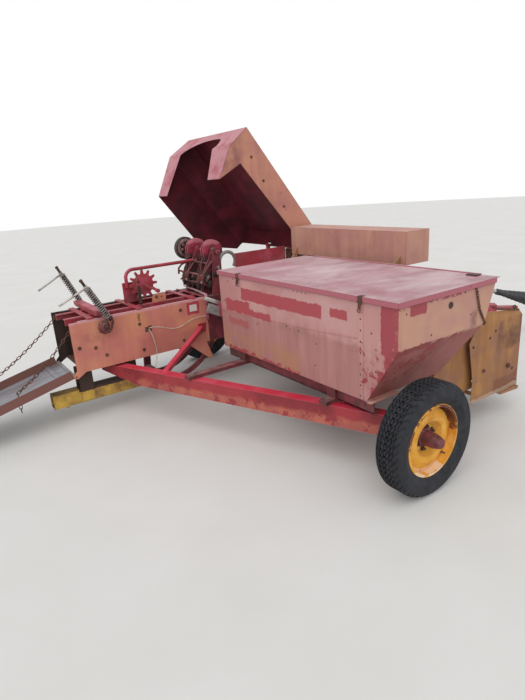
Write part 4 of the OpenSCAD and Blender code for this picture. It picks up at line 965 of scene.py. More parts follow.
    def plate(self, outline: Sequence[Tuple[float, float]], y: float, thick: float,
              edge: float = 0.0) -> "Shape":
        """Adds an upright plate that runs along the machine.

        Args:
            outline: its corners, in X and Z.
            y: where its first face lies.
            thick: how far on its other face lies.
            edge: how far its edges are broken.

        Returns:
            The shape itself.
        """
        verts = [self.mesh.verts.new((x, y, z)) for x, z in outline]
        face = self.mesh.faces.new(verts)
        step = bmesh.ops.extrude_face_region(self.mesh, geom=[face])["geom"]
        moved = [g for g in step if isinstance(g, bmesh.types.BMVert)]
        bmesh.ops.translate(self.mesh, vec=(0, thick, 0), verts=moved)
        self.soften(verts + moved, edge)
        return self

    def finish(self, name: str, body: str, finish: Finish, slot: str, stands_for: Sequence[str] = (),
               sharp: float = 32.0) -> bpy.types.Object:
        """Makes the object: its place in the frame, its finish, its body and what it stands for.

        Args:
            name: the piece's name.
            body: the body that it rides on.
            finish: its material.
            slot: the record's material slot; not used.
            stands_for: CAD nodes that it replaces.
            sharp: edges that turn by more degrees than this stay crisp.

        Returns:
            The finished object.
        """
        bmesh.ops.recalc_face_normals(self.mesh, faces=list(self.mesh.faces))
        into_frame = Matrix.Translation(SHIFT) @ Matrix.Scale(MM, 4)
        bmesh.ops.transform(self.mesh, matrix=into_frame, verts=list(self.mesh.verts))
        data = bpy.data.meshes.new(name)
        self.mesh.to_mesh(data)
        self.mesh.free()
        data.polygons.foreach_set("use_smooth", [True] * len(data.polygons))
        data.set_sharp_from_angle(angle=radians(sharp))
        data.materials.append(SHOP.material(finish))
        piece = bpy.data.objects.new(name, data)
        bpy.context.scene.collection.objects.link(piece)
        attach(piece, body)
        if stands_for:
            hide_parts(*stands_for)
        log.info("%s: %d faces", name, len(data.polygons))
        return piece


@dataclass
class Twine:
    """A free length of twine from the hole in the chamber's side.

    route runs from the hole. far_end says what its other end is, and lay how it lies; neither is used.
    """

    name: str
    route: Tuple[Point, ...]
    far_end: str
    lay: str
    thick: float = 6.0

    def build(self) -> None:
        """Lays the twine along its route as one curve."""
        data = bpy.data.curves.new(self.name, "CURVE")
        data.dimensions = "3D"
        data.bevel_depth = self.thick / 2 * MM
        data.bevel_resolution = 3
        data.use_fill_caps = True
        points = [place(*point) for point in self.route]
        spline = data.splines.new("POLY")
        spline.points.add(len(points) - 1)
        for spot, point in zip(spline.points, points):
            spot.co = (*point, 1.0)
        data.materials.append(SHOP.material(SISAL))
        piece = bpy.data.objects.new(self.name, data)
        bpy.context.scene.collection.objects.link(piece)
        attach(piece, "frame")
        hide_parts(self.name.replace("sisal", "twine"))


FORWARD_TWINE = Twine("sisal_forward", (
    (-531, -236, 594), (-530, -244, 597), (-522, -250, 600), (-505, -252, 600), (-480, -251, 596),
    (-450, -250, 588), (-420, -250, 578), (-390, -250, 567), (-360, -250, 558), (-330, -250, 553),
    (-300, -250, 554), (-270, -250, 561), (-240, -250, 572), (-210, -251, 584), (-180, -252, 594),
    (-150, -253, 600), (-120, -254, 602), (-90, -254, 601), (-68, -253.3, 599), (-42, -253.3, 597),
), "object", "loose")
DOWN_TWINE = Twine("sisal_down", (
    (-537, -236, 583), (-536, -244, 583), (-533, -249, 577), (-528, -251, 565), (-523, -251, 549),
    (-518, -251, 531), (-513, -250, 511), (-509, -250, 490), (-505, -250, 468), (-502, -250, 445),
    (-501, -250, 422), (-502, -250, 400), (-505, -249, 378), (-509, -249, 356), (-514, -248, 334),
    (-520, -248, 312), (-526, -248, 292), (-532, -248, 274),
), "bare", "hanging")


@dataclass
class Wheel:
    """A wheel: ribbed road tyre, nuts and tapered hub barrel. out is -1 or 1, its outer side in Y."""

    side: str
    centre: Point
    out: int
    radius: float = 298.0
    rim_radius: float = 190.0
    # Where the tread's ribs lie across it, how many faces go round, and how deep its cuts are.
    ribs: Tuple[Tuple[float, float], ...] = ((-45, -31), (-26, -9), (-4.5, 4.5), (9, 26), (31, 45))
    steps: int = 180
    cut: float = 5.0
    # The hub barrel's section, as radius and place along the axle; it lies a hair over the CAD one.
    barrel: Tuple[Tuple[float, float], ...] = (
        (52, -8), (52, 0), (49, 4), (41, 7), (38.5, 15), (37.9, 56), (35.6, 64), (31.4, 80), (28, 92),
        (27, 96.5), (25, 98.5), (14, 99.5), (0.2, 99.5),
    )
    nut_angles: Tuple[float, ...] = (80, 200, 260, 320, 20)
    nut_circle: float = 60.0
    valve_angle: float = -47.0
    valve_circle: float = 146.0

    def outline(self) -> List[Tuple[float, float]]:
        """Gives the tyre's section, in radius and place across it.

        Returns:
            Points from the inner bead over the tread to the outer one.
        """
        bead = self.rim_radius
        side = [(bead - 8, 42), (bead - 4, 50), (bead + 6, 56.5), (bead + 16, 61.5), (bead + 24, 66.5),
                (bead + 32, 71), (bead + 37, 72.8), (bead + 41, 73.6), (bead + 45, 72.8), (250, 72.2),
                (263, 71.2), (274, 67.5), (277, 68.6), (280, 67.6), (288, 61), (293, 55), (296.5, 49)]
        tread: List[Tuple[float, float]] = []
        for low, high in self.ribs:
            tread += [(self.radius - 7, low - 1), (self.radius - 0.8, low + 0.5),
                      (self.radius - 0.2, (low + high) / 2), (self.radius - 0.8, high - 0.5),
                      (self.radius - 7, high + 1)]
        return [(r, -y) for r, y in side] + tread + [(r, y) for r, y in reversed(side)]

    def tyre(self) -> None:
        """Builds the tyre, with sipes sunk into its ribs and notches into its shoulders."""
        shape = Shape()
        shape.turned(self.outline(), self.centre, (0, 1, 0), self.steps)
        middle = Vector(self.centre)
        sunk = []
        for face in shape.mesh.faces:
            mid = face.calc_center_median() - middle
            radius = (mid.x ** 2 + mid.z ** 2) ** 0.5
            angle = acos(max(-1.0, min(1.0, mid.x / radius))) * (1 if mid.z > 0 else -1)
            step = int(round(angle / (2 * pi) * self.steps + abs(mid.y) * 0.16))
            rib = radius > self.radius - 2 and abs(mid.y) < 46 and step % 3 == 0
            shoulder = 280 < radius < 296 and abs(mid.y) > 49 and step % 4 == 0
            if rib or shoulder:
                sunk.append(face)
        for face in bmesh.ops.extrude_discrete_faces(shape.mesh, faces=sunk)["faces"]:
            mid = face.calc_center_median() - middle
            inward = Vector((mid.x, 0, mid.z)).normalized() * -self.cut
            bmesh.ops.translate(shape.mesh, vec=inward, verts=list(face.verts))
        shape.finish(f"tyre_{self.side}", f"wheel_{self.side}", RUBBER, "tyre_rubber",
                     [f"wheel_{self.side}_tyre"], 40)

    def hub(self) -> None:
        """Builds the hub barrel, the nuts and the valve."""
        x, y, z = self.centre
        shape = Shape()
        shape.turned(self.barrel, (x, y, z), (0, self.out, 0), 32)
        shape.finish(f"hub_barrel_{self.side}", f"wheel_{self.side}", HUB_RED, "crimson_steel")
        nuts = Shape()
        for degrees in self.nut_angles:
            angle = radians(degrees)
            at = (x + self.nut_circle * cos(angle), y - self.out * 5, z + self.nut_circle * sin(angle))
            nuts.bolt(at, (0, self.out, 0), 11)
            nuts.rod(at, (at[0], at[1] + self.out * 19, at[2]), 6.5, 10, edge=1)
        angle = radians(self.valve_angle)
        valve = Vector((x + self.valve_circle * cos(angle), y + self.out * 20,
                        z + self.valve_circle * sin(angle)))
        nuts.rod(valve, valve + Vector((0, self.out * 5, 0)), 11, 14, edge=1)
        nuts.rod(valve, valve + Vector((3, self.out * 28, -2)), 4.5, 10, edge=0.6)
        nuts.finish(f"wheel_nuts_{self.side}", f"wheel_{self.side}", RUST, "rusty_steel")

    def build(self) -> None:
        """Builds the whole wheel's pieces."""
        self.tyre()
        self.hub()


@dataclass
class TwineBox:
    """What is on the twine box: seam, rivets, hasps, chain and flanges.

    The numbers say where the box's faces lie: its rear in X, its sides in Y, its top and foot in Z.
    """

    rear: float = -142.0
    right: float = -2221.0
    left: float = -650.0
    top: float = 1000.0
    low: float = 462.0

    def seam(self) -> None:
        """Builds the lapped seam down the rear face with its rivets, and the dented fold across it."""
        shape = Shape()
        shape.block((self.rear - 2.2, -2008, self.low + 4), (self.rear + 1, -1972, self.top - 26), 0.8)
        crease = [(self.left - 4, 723), (-900, 733), (-1200, 748), (-1500, 756), (-1760, 772), (-1972, 787)]
        for (y0, z0), (y1, z1) in zip(crease, crease[1:]):
            shape.bar((self.rear - 0.6, y0, z0), (self.rear - 0.6, y1, z1), 7, 2.4, 1.0)
        shape.finish("box_seam", "frame", BOX_ENAMEL, "salmon_sheet")
        rivets = Shape()
        for i in range(9):
            rivets.dome((self.rear - 2, -1990, self.low + 22 + i * 58), (-1, 0, 0), 5, 3)
        for y in (-1470, -1505, -1540, -1575):
            rivets.dome((self.rear, y, 963), (-1, 0, 0), 4.5, 2.5)
        for y, z in ((-700, 800), (-1085, 700), (-1390, 742), (-1500, 735), (-735, 480), (-1640, 560),
                     (-1655, 690), (-2060, 830), (-2090, 640), (-760, 940), (-830, 962)):
            rivets.dome((self.rear, y, z), (-1, 0, 0), 5, 3)
        for x, z in ((358, 966), (-85, 940), (420, 840), (100, 800)):
            rivets.dome((x, self.right, z), (0, -1, 0), 5, 3)
        rivets.finish("box_rivets", "frame", RUST, "rusty_steel")

    def hasps(self) -> None:
        """Builds the two hasps that hold the lid down."""
        shape = Shape()
        lid = Shape()
        for y in (-898, -1993):
            x = self.rear - 10
            lid.block((x - 3, y - 14, self.top - 26), (x, y + 14, self.top + 4), 1)
            lid.block((x - 3, y - 14, self.top + 2), (x + 26, y + 14, self.top + 6), 1)
            lid.rod((x - 3, y - 16, self.top - 24), (x - 3, y + 16, self.top - 24), 4, 10)
            shape.bar((x - 4, y, self.top - 26), (x - 6, y, 942), 16, 3, 0.8, (0, 1, 0))
            shape.ring((x - 8, y, 936), (1, 0, 0), 9, 2.4, 20, 6)
            shape.ring((x - 2, y, 950), (0, 1, 0), 8, 2.6, 18, 6)
            shape.block((self.rear - 3, y - 11, 928), (self.rear, y + 11, 962), 1)
        shape.finish("box_hasps", "frame", RUST, "rusty_steel")
        lid.finish("lid_straps", "box_lid", RUST, "rusty_steel")

    def chain(self) -> None:
        """Builds the short chain that hangs down the right face."""
        shape = Shape()
        route = [Vector((448, self.right - 6, 968)), Vector((486, self.right - 6, 856)),
                 Vector((543, self.right - 6, 772))]
        for start, end in zip(route, route[1:]):
            way = (end - start).normalized()
            count = round((end - start).length / 15)
            for i in range(count):
                at = start + (end - start) * (i + 0.5) / count
                axis = (0, 1, 0) if i % 2 else way.cross(Vector((0, 1, 0)))
                shape.ring(at, axis, 5.5, 2.2, 14, 6, 9, way)
        shape.ring((446, self.right - 3, 978), (0, 1, 0), 9, 2.8, 18, 6)
        shape.dome((545, self.right, 766), (0, -1, 0), 9, 6)
        shape.finish("box_chain", "frame", RUST, "rusty_steel")

    def sill(self) -> None:
        """Builds the deep angle that carries the box's rear edge."""
        shape = Shape()
        shape.block((-108, -2046, 386), (-99, -654, 466), 1.5)
        shape.block((-108, -2046, 386), (-60, -654, 394), 1.5)
        shape.finish("box_sill", "frame", DARK_RED, "dark_red_steel")

    def trim(self) -> None:
        """Builds the bottom flange and the eye on the right face."""
        shape = Shape()
        shape.block((self.rear - 8, -2066, self.low - 3), (60, -2036, self.low + 3), 1.2)
        shape.bar((self.rear - 4, -2036, self.low + 2), (60, -2036, self.low + 2), 16, 3, 1)
        shape.finish("box_flange", "frame", SALMON, "salmon_sheet")
        eye = Shape()
        eye.ring((244, self.right - 1, 922), (0, 1, 0), 14, 3.4, 24, 8)
        eye.rod((244, self.right + 1, 922), (244, self.right - 1.5, 922), 13, 20)
        eye.finish("box_eye", "frame", BLACK, "black_steel")

    def build(self) -> None:
        """Builds everything on the box."""
        self.seam()
        self.hasps()
        self.chain()
        self.sill()
        self.trim()


@dataclass
class BaleChamber:
    """What is on the bale chamber: bolts, straps, chains and density screws."""

    # Where the right side's bolts lie in Y, the length of a chain's link, and how far a chain sags.
    side: float = -238.0
    link_pitch: float = 27.0
    sag: float = 30.0

    def bolts(self) -> None:
        """Builds the bolt heads along the chamber's sides and the case."""
        shape = Shape()
        for x, z in ((-1047, 560), (-593, 443), (-939, 539), (-266, 680), (-263, 440), (-870, 470),
                     (-600, 640)):
            shape.bolt((x, self.side, z), (0, -1, 0), 9)
        for x in range(120, 1400, 160):
            for z in (405, 722):
                if not (340 < x < 1000 and z < 500):
                    shape.bolt((x, self.side, z), (0, -1, 0), 8)
                shape.bolt((x, -self.side, z), (0, 1, 0), 8)
        for x in range(-1000, -60, 150):
            for z in (405, 722):
                shape.bolt((x, -self.side, z), (0, 1, 0), 8)
        for z in (600, 690):
            shape.bolt((-47, self.side - 12, z), (0, -1, 0), 9)
        shape.bolt((-395, -120, 790), (0, -1, 0), 9)
        shape.bolt((-515, -104, 920), (0, -1, 0), 8)
        shape.bolt((-515, -104, 770), (0, -1, 0), 8)
        shape.finish("chamber_bolts", "frame", RUST, "rusty_steel")

    def straps(self) -> None:
        """Builds the pale slanting strap over the chamber, and the worn bar and plate beside it."""
        pale = Shape()
        y = self.side - 15
        over = [(22, 236, 766), (10, 160, 769), (-11, 106, 771), (-12, 84, 771), (-16, -40, 770),
                (-34, -236, 759)]
        wide = (26, 20, 14, 22, 26)
        for a, b, width in zip(over, over[1:], wide):
            pale.bar(a, b, width, 5, 1.4, Vector((0, 0, 1)).cross(Vector(b) - Vector(a)))
        pale.bar((-34, -233, 759), (-45, y - 1, 742), 26, 5, 1.4, (1, 0, 0))
        pale.bar((-47, y - 1, 748), (-49, y - 1, 566), 26, 5, 1.4, (1, 0, 0))
        pale.bolt((-48, y - 3, 590), (0, -1, 0), 9)
        pale.finish("side_strap", "frame", LID_ENAMEL, "salmon_sheet")
        bar = Shape()
        bar.bar((-66, -262, 742), (62, -330, 680), 30, 8, 1.5)
        bar.finish("tie_bar", "frame", BARE, "bare_steel")
        plate = Shape()
        plate.bar((-60, -284, 668), (72, -352, 608), 74, 5, 1.2)
        for x, y, z in ((-34, -301, 676), (-14, -311, 640), (24, -331, 650), (44, -341, 606)):
            plate.bolt((x, y, z), (-0.45, -0.9, 0), 9)
        plate.finish("tie_plate", "frame", CAST, "bare_steel")

    @staticmethod
    def link(shape: Shape, at: Vector, number: int, axis: Point, way: Point) -> None:
        """Adds a chain's link.

        Args:
            shape: the chain.
            at: the link's centre.
            number: its place in the chain. Every other link stands across its neighbours.
            axis: the direction that an even link goes round.
            way: the chain's direction.
        """
        shape.ring(at, (0, 1, 0) if number % 2 else axis, 8.5, 2.8, 16, 7, 15, way)

    def chains(self) -> None:
        """Builds the chute's two chains, which slacken as it swings up."""
        shape = Shape()
        eye = Vector((-1068, 0, 705))
        for y, length, drop in ((-212, 548, 41), (212, 712, 35)):
            start = eye + Vector((0, y, 0))
            shape.ring(start, (0, 1, 0), 15, 3.6, 24, 8)
            end = start + Vector((-cos(radians(drop)), 0, -sin(radians(drop)))) * length
            count = round(length / self.link_pitch)
            points = []
            for i in range(count + 1):
                at = start.lerp(end, i / count)
                at.z -= self.sag * sin(pi * i / count)
                points.append(at)
            for i, (a, b) in enumerate(zip(points, points[1:])):
                way = (b - a).normalized()
                self.link(shape, (a + b) / 2, i, way.cross(Vector((0, 1, 0))), way)
            for i in range(5):
                self.link(shape, end + Vector((2, 0, -14 - self.link_pitch * i)), i, (1, 0, 0), (0, 0, 1))
        piece = shape.finish("chute_chain_links", "frame", RUST, "rusty_steel", ["chute_chains"], 60)
        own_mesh(piece)

    def build(self) -> None:
        """Builds everything on the chamber."""
        self.bolts()
        self.straps()
        self.chains()
        DensityScrew(-1, (-950.0, 970.0)).build()
        DensityScrew(1, (-952.0, 1005.0)).build()


@dataclass
class DensityScrew:
    """One density screw with its coiled spring, crank and hook, outside the cross beam's end."""

    side: int
    # In X and Z: where the crank grips the screw, where the spring stands, and the hook's eye. The
    # screw stands this far out in Y.
    nut: Tuple[float, float]
    seat: Tuple[float, float] = (-840.0, 756.0)
    eye: Tuple[float, float] = (-868.0, 690.0)
    out: float = 291.0
    spring_radius: float = 20.5
    wire: float = 4.4
    turns: float = 15.0

    def build(self) -> None:
        """Builds the screw, spring, crank and hook."""
        name = "right" if self.side < 0 else "left"
        y = self.side * self.out
        seat, nut = Vector((self.seat[0], y, self.seat[1])), Vector((self.nut[0], y, self.nut[1]))
        way = (nut - seat).normalized()
        screw = Shape()
        screw.rod(seat - way * 40, nut + way * 66, 8.5, 18, edge=1)
        screw.rod(seat, nut, 13, 16)
        screw.finish(f"density_screw_{name}", "frame", BLACK, "black_steel",
                     ["density_screws"] if self.side < 0 else [])
        thread = Shape()
        thread.coil(nut + way * 14, nut + way * 64, 8.5, 1.8, 13, 5)
        thread.rod(nut + way * 52, nut + way * 60, 13, 6, edge=1)
        thread.finish(f"screw_thread_{name}", "frame", RUST, "rusty_steel")
        spring = Shape()
        spring.coil(seat + way * 2, nut - way * 12, self.spring_radius, self.wire, self.turns, 8)
        spring.rod(seat - way * 6, seat, 24, 24, edge=1.5)
        spring.rod(nut - way * 12, nut - way * 6, 23, 24, edge=1.5)
        spring.finish(f"density_spring_{name}", "frame", SPRING, "bare_steel", sharp=60)
        crank = Shape()
        crank.rod(nut - way * 6, nut + way * 14, 15, 20, edge=2)
        crank.tube([nut, nut + Vector((-40, self.side * -4, -20)),
                    nut + Vector((-110, self.side * -14, -56)), nut + Vector((-186, self.side * -26, -94))],
                   7, 12)
        crank.finish(f"density_crank_{name}", "frame", BARE, "bare_steel")
        hook = Shape()
        eye = Vector((self.eye[0], 0, self.eye[1]))
        bend = ((46, -20), (26, -44), (-8, -48), (-36, -30), (-42, 4))
        around = [eye + Vector((x, y, z)) for x, z in bend]
        hook.tube([seat - way * 4 + Vector((4, 0, 10)), seat + Vector((26, 0, -8)),
                   seat + Vector((34, 0, -40)), *around], 8.5, 12)
        hook.rod(eye + Vector((0, self.side * 262, 0)), eye + Vector((0, y + self.side * 8, 0)), 36, 30,
                 edge=4)
        hook.rod(eye + Vector((0, y, 0)), eye + Vector((0, y + self.side * 20, 0)), 22, 24, edge=4)
        hook.bar(eye + Vector((6, y, 10)), seat - way * 8, 34, 14, 3, (0, 1, 0))
        hook.finish(f"spring_hook_{name}", "frame", DARK_RED, "dark_red_steel")
        pin = Shape()
        pin.rod(eye + Vector((0, self.side * 236, 0)), eye + Vector((0, y + self.side * 30, 0)), 9, 16,
                edge=1)
        pin.bolt(eye + Vector((0, y + self.side * 20, 0)), (0, self.side, 0), 11)
        pin.finish(f"spring_pin_{name}", "frame", RUST, "rusty_steel")


@dataclass
class Knotter:
    """One twine knotter at y: its cam's worn tracks, twine disc, bill hook, knife arm and springs."""

    name: str
    y: float

    @staticmethod
    def teeth(shape: Shape, centre: Point, radius: float, degrees: Iterable[float], deep: float,
              wide: float, thick: float, edge: float) -> None:
        """Adds teeth round a disc.

        Args:
            shape: what the disc is in.
            centre: the disc's centre.
            radius: where the teeth start.
            degrees: their directions.
            deep: how far they stand out.
            wide: their size along the shaft.
            thick: their size round it.
            edge: how far their edges are broken.
        """
        for degree in degrees:
            out = Vector((cos(radians(degree)), 0, sin(radians(degree))))
            root = Vector(centre) + out * radius
            shape.bar(root, root + out * deep, wide, thick, edge, (0, 1, 0))

    def cam(self) -> None:
        """Builds the cam disc's raised tracks, which turn with the shaft."""
        x, z = KNOTTER_SHAFT
        shape = Shape()
        shape.turned([
            (40, -36), (82, -34), (89, -30), (89, -24), (76, -20), (68, -12), (80, -6), (91, -3), (91, 5),
            (78, 10), (70, 16), (40, 22),
        ], (x, self.y, z), (0, 1, 0), 48)
        self.teeth(shape, (x, self.y - 14, z), 72, range(-40, 140, 20), 13, 16, 7, 1.5)
        shape.finish(f"knotter_cam_{self.name}", "knotter_shaft", CAM_ENAMEL, "crimson_steel")

    def arms(self) -> None:
        """Builds the arms that hang from the casting."""
        (x, z), y = KNOTTER_SHAFT, self.y
        arms = Shape()
        arms.tube([(x - 40, y - 74, z - 70), (x - 84, y - 78, z - 110), (x - 122, y - 74, z - 160),
                   (x - 132, y - 66, z - 210), (x - 108, y - 60, z - 246)], 9, 12)
        arms.bar((x + 24, y - 36, z - 104), (x - 70, y - 20, z - 236), 30, 10, 2.5)
        arms.bar((x - 30, y - 12, z - 118), (x - 128, y - 4, z - 206), 24, 9, 2.5)
        arms.tube([(x + 30, y + 30, z - 112), (x - 30, y + 34, z - 150), (x - 96, y + 30, z - 166),
                   (x - 140, y + 22, z - 226)], 7, 12)
        arms.rod((x - 6, y - 80, z - 128), (x - 6, y + 36, z - 128), 12, 18, edge=2)
        arms.rod((x - 64, y - 42, z - 232), (x - 64, y + 10, z - 232), 15, 18, edge=2)
        arms.finish(f"knotter_arms_{self.name}", "frame", DARK_RED, "dark_red_steel")

    def webs(self) -> None:
        """Builds the casting's webs and bosses."""
        (x, z), y = KNOTTER_SHAFT, self.y
        webs = Shape()
        web = [(x - 118, z - 285), (x + 50, z - 285), (x + 56, z - 190), (x + 20, z - 100),
               (x - 56, z - 100), (x - 92, z - 150), (x - 116, z - 214)]
        webs.plate(web, y + 42, 12, 2)
        webs.plate([(px * 0.9 + 5, pz) for px, pz in web[:6]], y + 72, 8, 2)
        webs.block((x - 90, y + 44, z - 284), (x + 40, y + 88, z - 250), 5)
        webs.block((x - 30, y - 36, z - 284), (x + 50, y + 40, z - 236), 6)
        webs.rod((x - 10, y + 36, z - 190), (x - 10, y + 92, z - 190), 26, 20, edge=3)
        webs.rod((x - 74, y + 38, z - 232), (x - 74, y + 86, z - 232), 20, 20, edge=3)
        webs.rod((x - 62, y - 34, z - 150), (x - 104, y - 58, z - 196), 17, 14, 11, edge=2)
        webs.block((x - 128, y - 66, z - 232), (x - 96, y - 34, z - 176), 7)
        webs.block((x - 88, y - 84, z - 268), (x - 58, y - 44, z - 214), 6)
        webs.rod((x - 20, y - 84, z - 172), (x - 20, y - 44, z - 172), 24, 16, edge=4)
        webs.rod((x - 66, y + 14, z - 186), (x - 66, y + 44, z - 186), 26, 16, edge=4)
        webs.finish(f"knotter_webs_{self.name}", "frame", BLACK, "black_steel")

    def discs(self) -> None:
        """Builds the toothed twine disc and the bill hook's pinion."""
        (x, z), y = KNOTTER_SHAFT, self.y
        discs = Shape()
        discs.turned([(10, -9), (36, -9), (44, -5), (44, 5), (36, 9), (10, 9)],
                     (x - 104, y - 12, z - 196), (0, 1, 0), 30)
        self.teeth(discs, (x - 104, y - 12, z - 196), 42, range(0, 360, 30), 8, 9, 7, 1)
        discs.turned([(6, -8), (24, -6), (27, 0), (24, 6), (6, 8)], (x - 44, y - 24, z - 152),
                     (0.3, 1, 0), 24)
        self.teeth(discs, (x - 44, y - 24, z - 152), 25, range(0, 360, 36), 7, 8, 6, 0.8)
        discs.finish(f"twine_discs_{self.name}", "frame", RUST, "rusty_steel")

    def hook(self) -> None:
        """Builds the bill hook, its two springs and the knife arm."""
        (x, z), y = KNOTTER_SHAFT, self.y
        hook = Shape()
        hook.rod((x - 44, y - 24, z - 152), (x - 78, y - 46, z - 212), 9, 14, edge=1)
        hook.tube([(x - 78, y - 46, z - 212), (x - 92, y - 52, z - 222), (x - 112, y - 48, z - 220),
                   (x - 126, y - 40, z - 206)], 6, 10)
        hook.coil((x + 30, y - 76, z - 190), (x + 8, y - 76, z - 108), 10, 2.4, 9, 6)
        hook.coil((x - 60, y + 20, z - 210), (x - 10, y + 26, z - 130), 8, 2.0, 11, 6)
        hook.bar((x - 64, y - 62, z - 180), (x - 142, y - 52, z - 226), 20, 4, 1)
        hook.finish(f"knotter_hook_{self.name}", "frame", BARE, "bare_steel", sharp=50)

    def build(self) -> None:
        """Builds the whole knotter."""
        self.cam()
        self.arms()
        self.webs()
        self.discs()
        self.hook()


@dataclass
class KnotterStack:
    """The knotters side by side, the drive disc and the cane-shaped twine arm."""

    # Each knotter's name and its place across the machine.
    places: Tuple[Tuple[str, float], ...] = (("right", -155.0), ("left", 95.0))
    cane_y: float = -216.0

    def drive(self) -> None:
        """Builds the drive disc's rim, and its bright face with the bolts."""
        x, z = KNOTTER_SHAFT
        shape = Shape()
        shape.turned([
            (30, 258), (78, 258), (90, 261), (93, 264), (93, 300), (90, 303), (80, 305), (76, 294),
            (44, 292), (30, 306),
        ], (x, 0, z), (0, 1, 0), 56)
        shape.finish("knotter_drive_disc", "knotter_shaft", BLACK, "black_steel")
        bright = Shape()
        bright.turned([(56, 255), (74, 254), (78, 257), (74, 258), (56, 258)], (x, 0, z), (0, 1, 0), 48)
        for i in range(6):
            angle = radians(60 * i + 10)
            bright.bolt((x + 40 * cos(angle), 257, z + 40 * sin(angle)), (0, -1, 0), 8)
        bright.finish("drive_disc_track", "knotter_shaft", CLUTCH, "bare_steel")

    def cane(self) -> None:
        """Builds the thick cane-shaped arm beside the right knotter."""
        shape = Shape()
        y = self.cane_y
        route = [(126, y, 812), (125, y, 870), (124, y, 930), (126, y, 985)]
        route += [(198 - 72 * cos(radians(a)), y, 988 + 72 * sin(radians(a))) for a in range(10, 221, 15)]
        shape.tube(route, 13.5, 16)
        shape.finish("twine_arm", "frame", CAST, "bare_steel", sharp=60)

    def rods(self) -> None:
        """Builds the stay rods and arms between the knotters, and the oily works under them."""
        shape = Shape()
        shape.rod((-26, -210, 905), (-26, 215, 905), 8, 14)
        shape.rod((150, -225, 860), (150, 225, 860), 9, 14)
        shape.rod((-24, -180, 838), (-24, 190, 838), 7, 14)
        for y in (-60, 20, 185):
            shape.bar((100, y, 968), (-6, y, 806), 34, 8, 2, (1, 0, 1))
            shape.bar((150, y, 900), (110, y, 760), 30, 8, 2, (1, 0, 0))
            shape.bolt((60, y - 4, 910), (0, -1, 0), 9)
        shape.tube([(20, 150, 975), (-20, 160, 960), (-46, 168, 930), (-48, 172, 884)], 8, 12)
        shape.finish("knotter_rods", "frame", DARK_RED, "dark_red_steel")
        oily = Shape()
        oily.block((74, -190, 754), (140, 200, 778), 4)
        for y in (-130, -100, -30, 55, 120, 150):
            oily.rod((10, y, 778), (24, y + 6, 866), 9, 12, edge=1)
            oily.rod((90, y, 778), (76, y - 4, 880), 11, 12, edge=1)
            oily.bar((0, y + 12, 800), (120, y + 12, 846), 22, 7, 1.5)
        oily.finish("knotter_lower_works", "frame", BLACK, "black_steel")

    def build(self) -> None:
        """Builds the stack."""
        for name, y in self.places:
            Knotter(name, y).build()
        self.drive()
        self.cane()
        self.rods()


@dataclass
class Hood:
    """The bolts on the hood, which stands open by tilt degrees about its hinge in X and Z."""

    hinge: Tuple[float, float] = (940.0, 1000.0)
    tilt: float = 51.6
    right: float = -301.0
    left: float = 701.0

    def point(self, along: float, y: float, up: float) -> Vector:
        """Gives a point of the open hood.

        Args:
            along: its distance forward of the hinge when the hood is shut.
            y: its place across the machine.
            up: its height over the hinge when the hood is shut.

        Returns:
            The point.
        """
        angle = radians(self.tilt)
        x, z = self.hinge
        return Vector((x + along * cos(angle) + up * sin(angle), y,
                       z - along * sin(angle) + up * cos(angle)))

    def build(self) -> None:
        """Builds the bolts on both side sheets."""
        shape = Shape()
        for along, up in ((-40, 20), (-120, 34), (-160, 90), (-420, 60), (-700, 40), (-900, 70)):
            shape.bolt(self.point(along, self.right, up), (0, -1, 0), 7)
        for along, up in ((-60, 40), (-300, -20), (-600, -60), (-900, -80)):
            shape.bolt(self.point(along, self.left, up), (0, 1, 0), 7)
        shape.finish("hood_bolts", "hood", RUST, "rusty_steel")


@dataclass
class PickupTrim:
    """What is on the pickup: folds, bolts, hook rod and the tines' coils."""

    # The side sheets in Y, the reel's axis in X and Z, its bars, and the bays between the tines.
    side: float = -2050.0
    left: float = -640.0
    reel: Tuple[float, float] = (1130.0, 335.0)
    bar_radius: float = 105.0
    bars: int = 4
    bays: int = 14

    def sheet(self) -> None:
        """Builds the pressed folds, the bolts and the rod with its rings on the right sheet."""
        fold = Shape()
        y = self.side - 1
        fold.bar((748, y, 328), (1000, y, 274), 8, 4, 1.4)
        fold.bar((1000, y, 274), (1258, y, 220), 8, 4, 1.4)
        edge = [(700, 578), (792, 703), (871, 737), (970, 721), (1214, 690)]
        for a, b in zip(edge, edge[1:]):
            fold.bar((a[0], y + 2, a[1]), (b[0], y + 2, b[1]), 7, 9, 2)
        fold.finish("pickup_folds", "pickup", OCHRE, "rusty_sheet")
        shape = Shape()
        for x, z in ((964, 602), (906, 568), (736, 548), (1190, 300)):
            shape.bolt((x, self.side, z), (0, -1, 0), 6)
        route = ((897, 763), (960, 744), (1030, 728), (1078, 715), (1120, 712))
        shape.tube([(x, y - 8, z) for x, z in route], 6.5, 12)
        shape.ring((1137, y - 8, 717), (0, 1, 0), 14, 4.5, 24, 8)
        shape.ring((1163, y - 8, 703), (1, 0, 1), 12, 4, 24, 8)
        shape.finish("pickup_bolts", "pickup", RUST, "rusty_steel")

    def tines(self) -> None:
        """Builds the sprung coils at the foot of each tine."""
        shape = Shape()
        pitch = (self.left - self.side) / self.bays
        shape.coil((0, -13, 0), (0, 13, 0), 15, 2.6, 4, 6)
        first = list(shape.mesh.verts)
        moves = []
        for bar in range(self.bars):
            angle = radians(360 / self.bars * bar + 30)
            x, z = self.reel[0] + self.bar_radius * cos(angle), self.reel[1] + self.bar_radius * sin(angle)
            moves += [(x, self.side + pitch * bay, z) for bay in range(1, self.bays)]
        shape.copies(moves)
        bmesh.ops.delete(shape.mesh, geom=first, context="VERTS")
        shape.finish("tine_coils", "pickup_reel", RUST, "rusty_steel", sharp=60)

    def build(self) -> None:
        """Builds the pickup's small pieces."""
        self.sheet()
        self.tines()


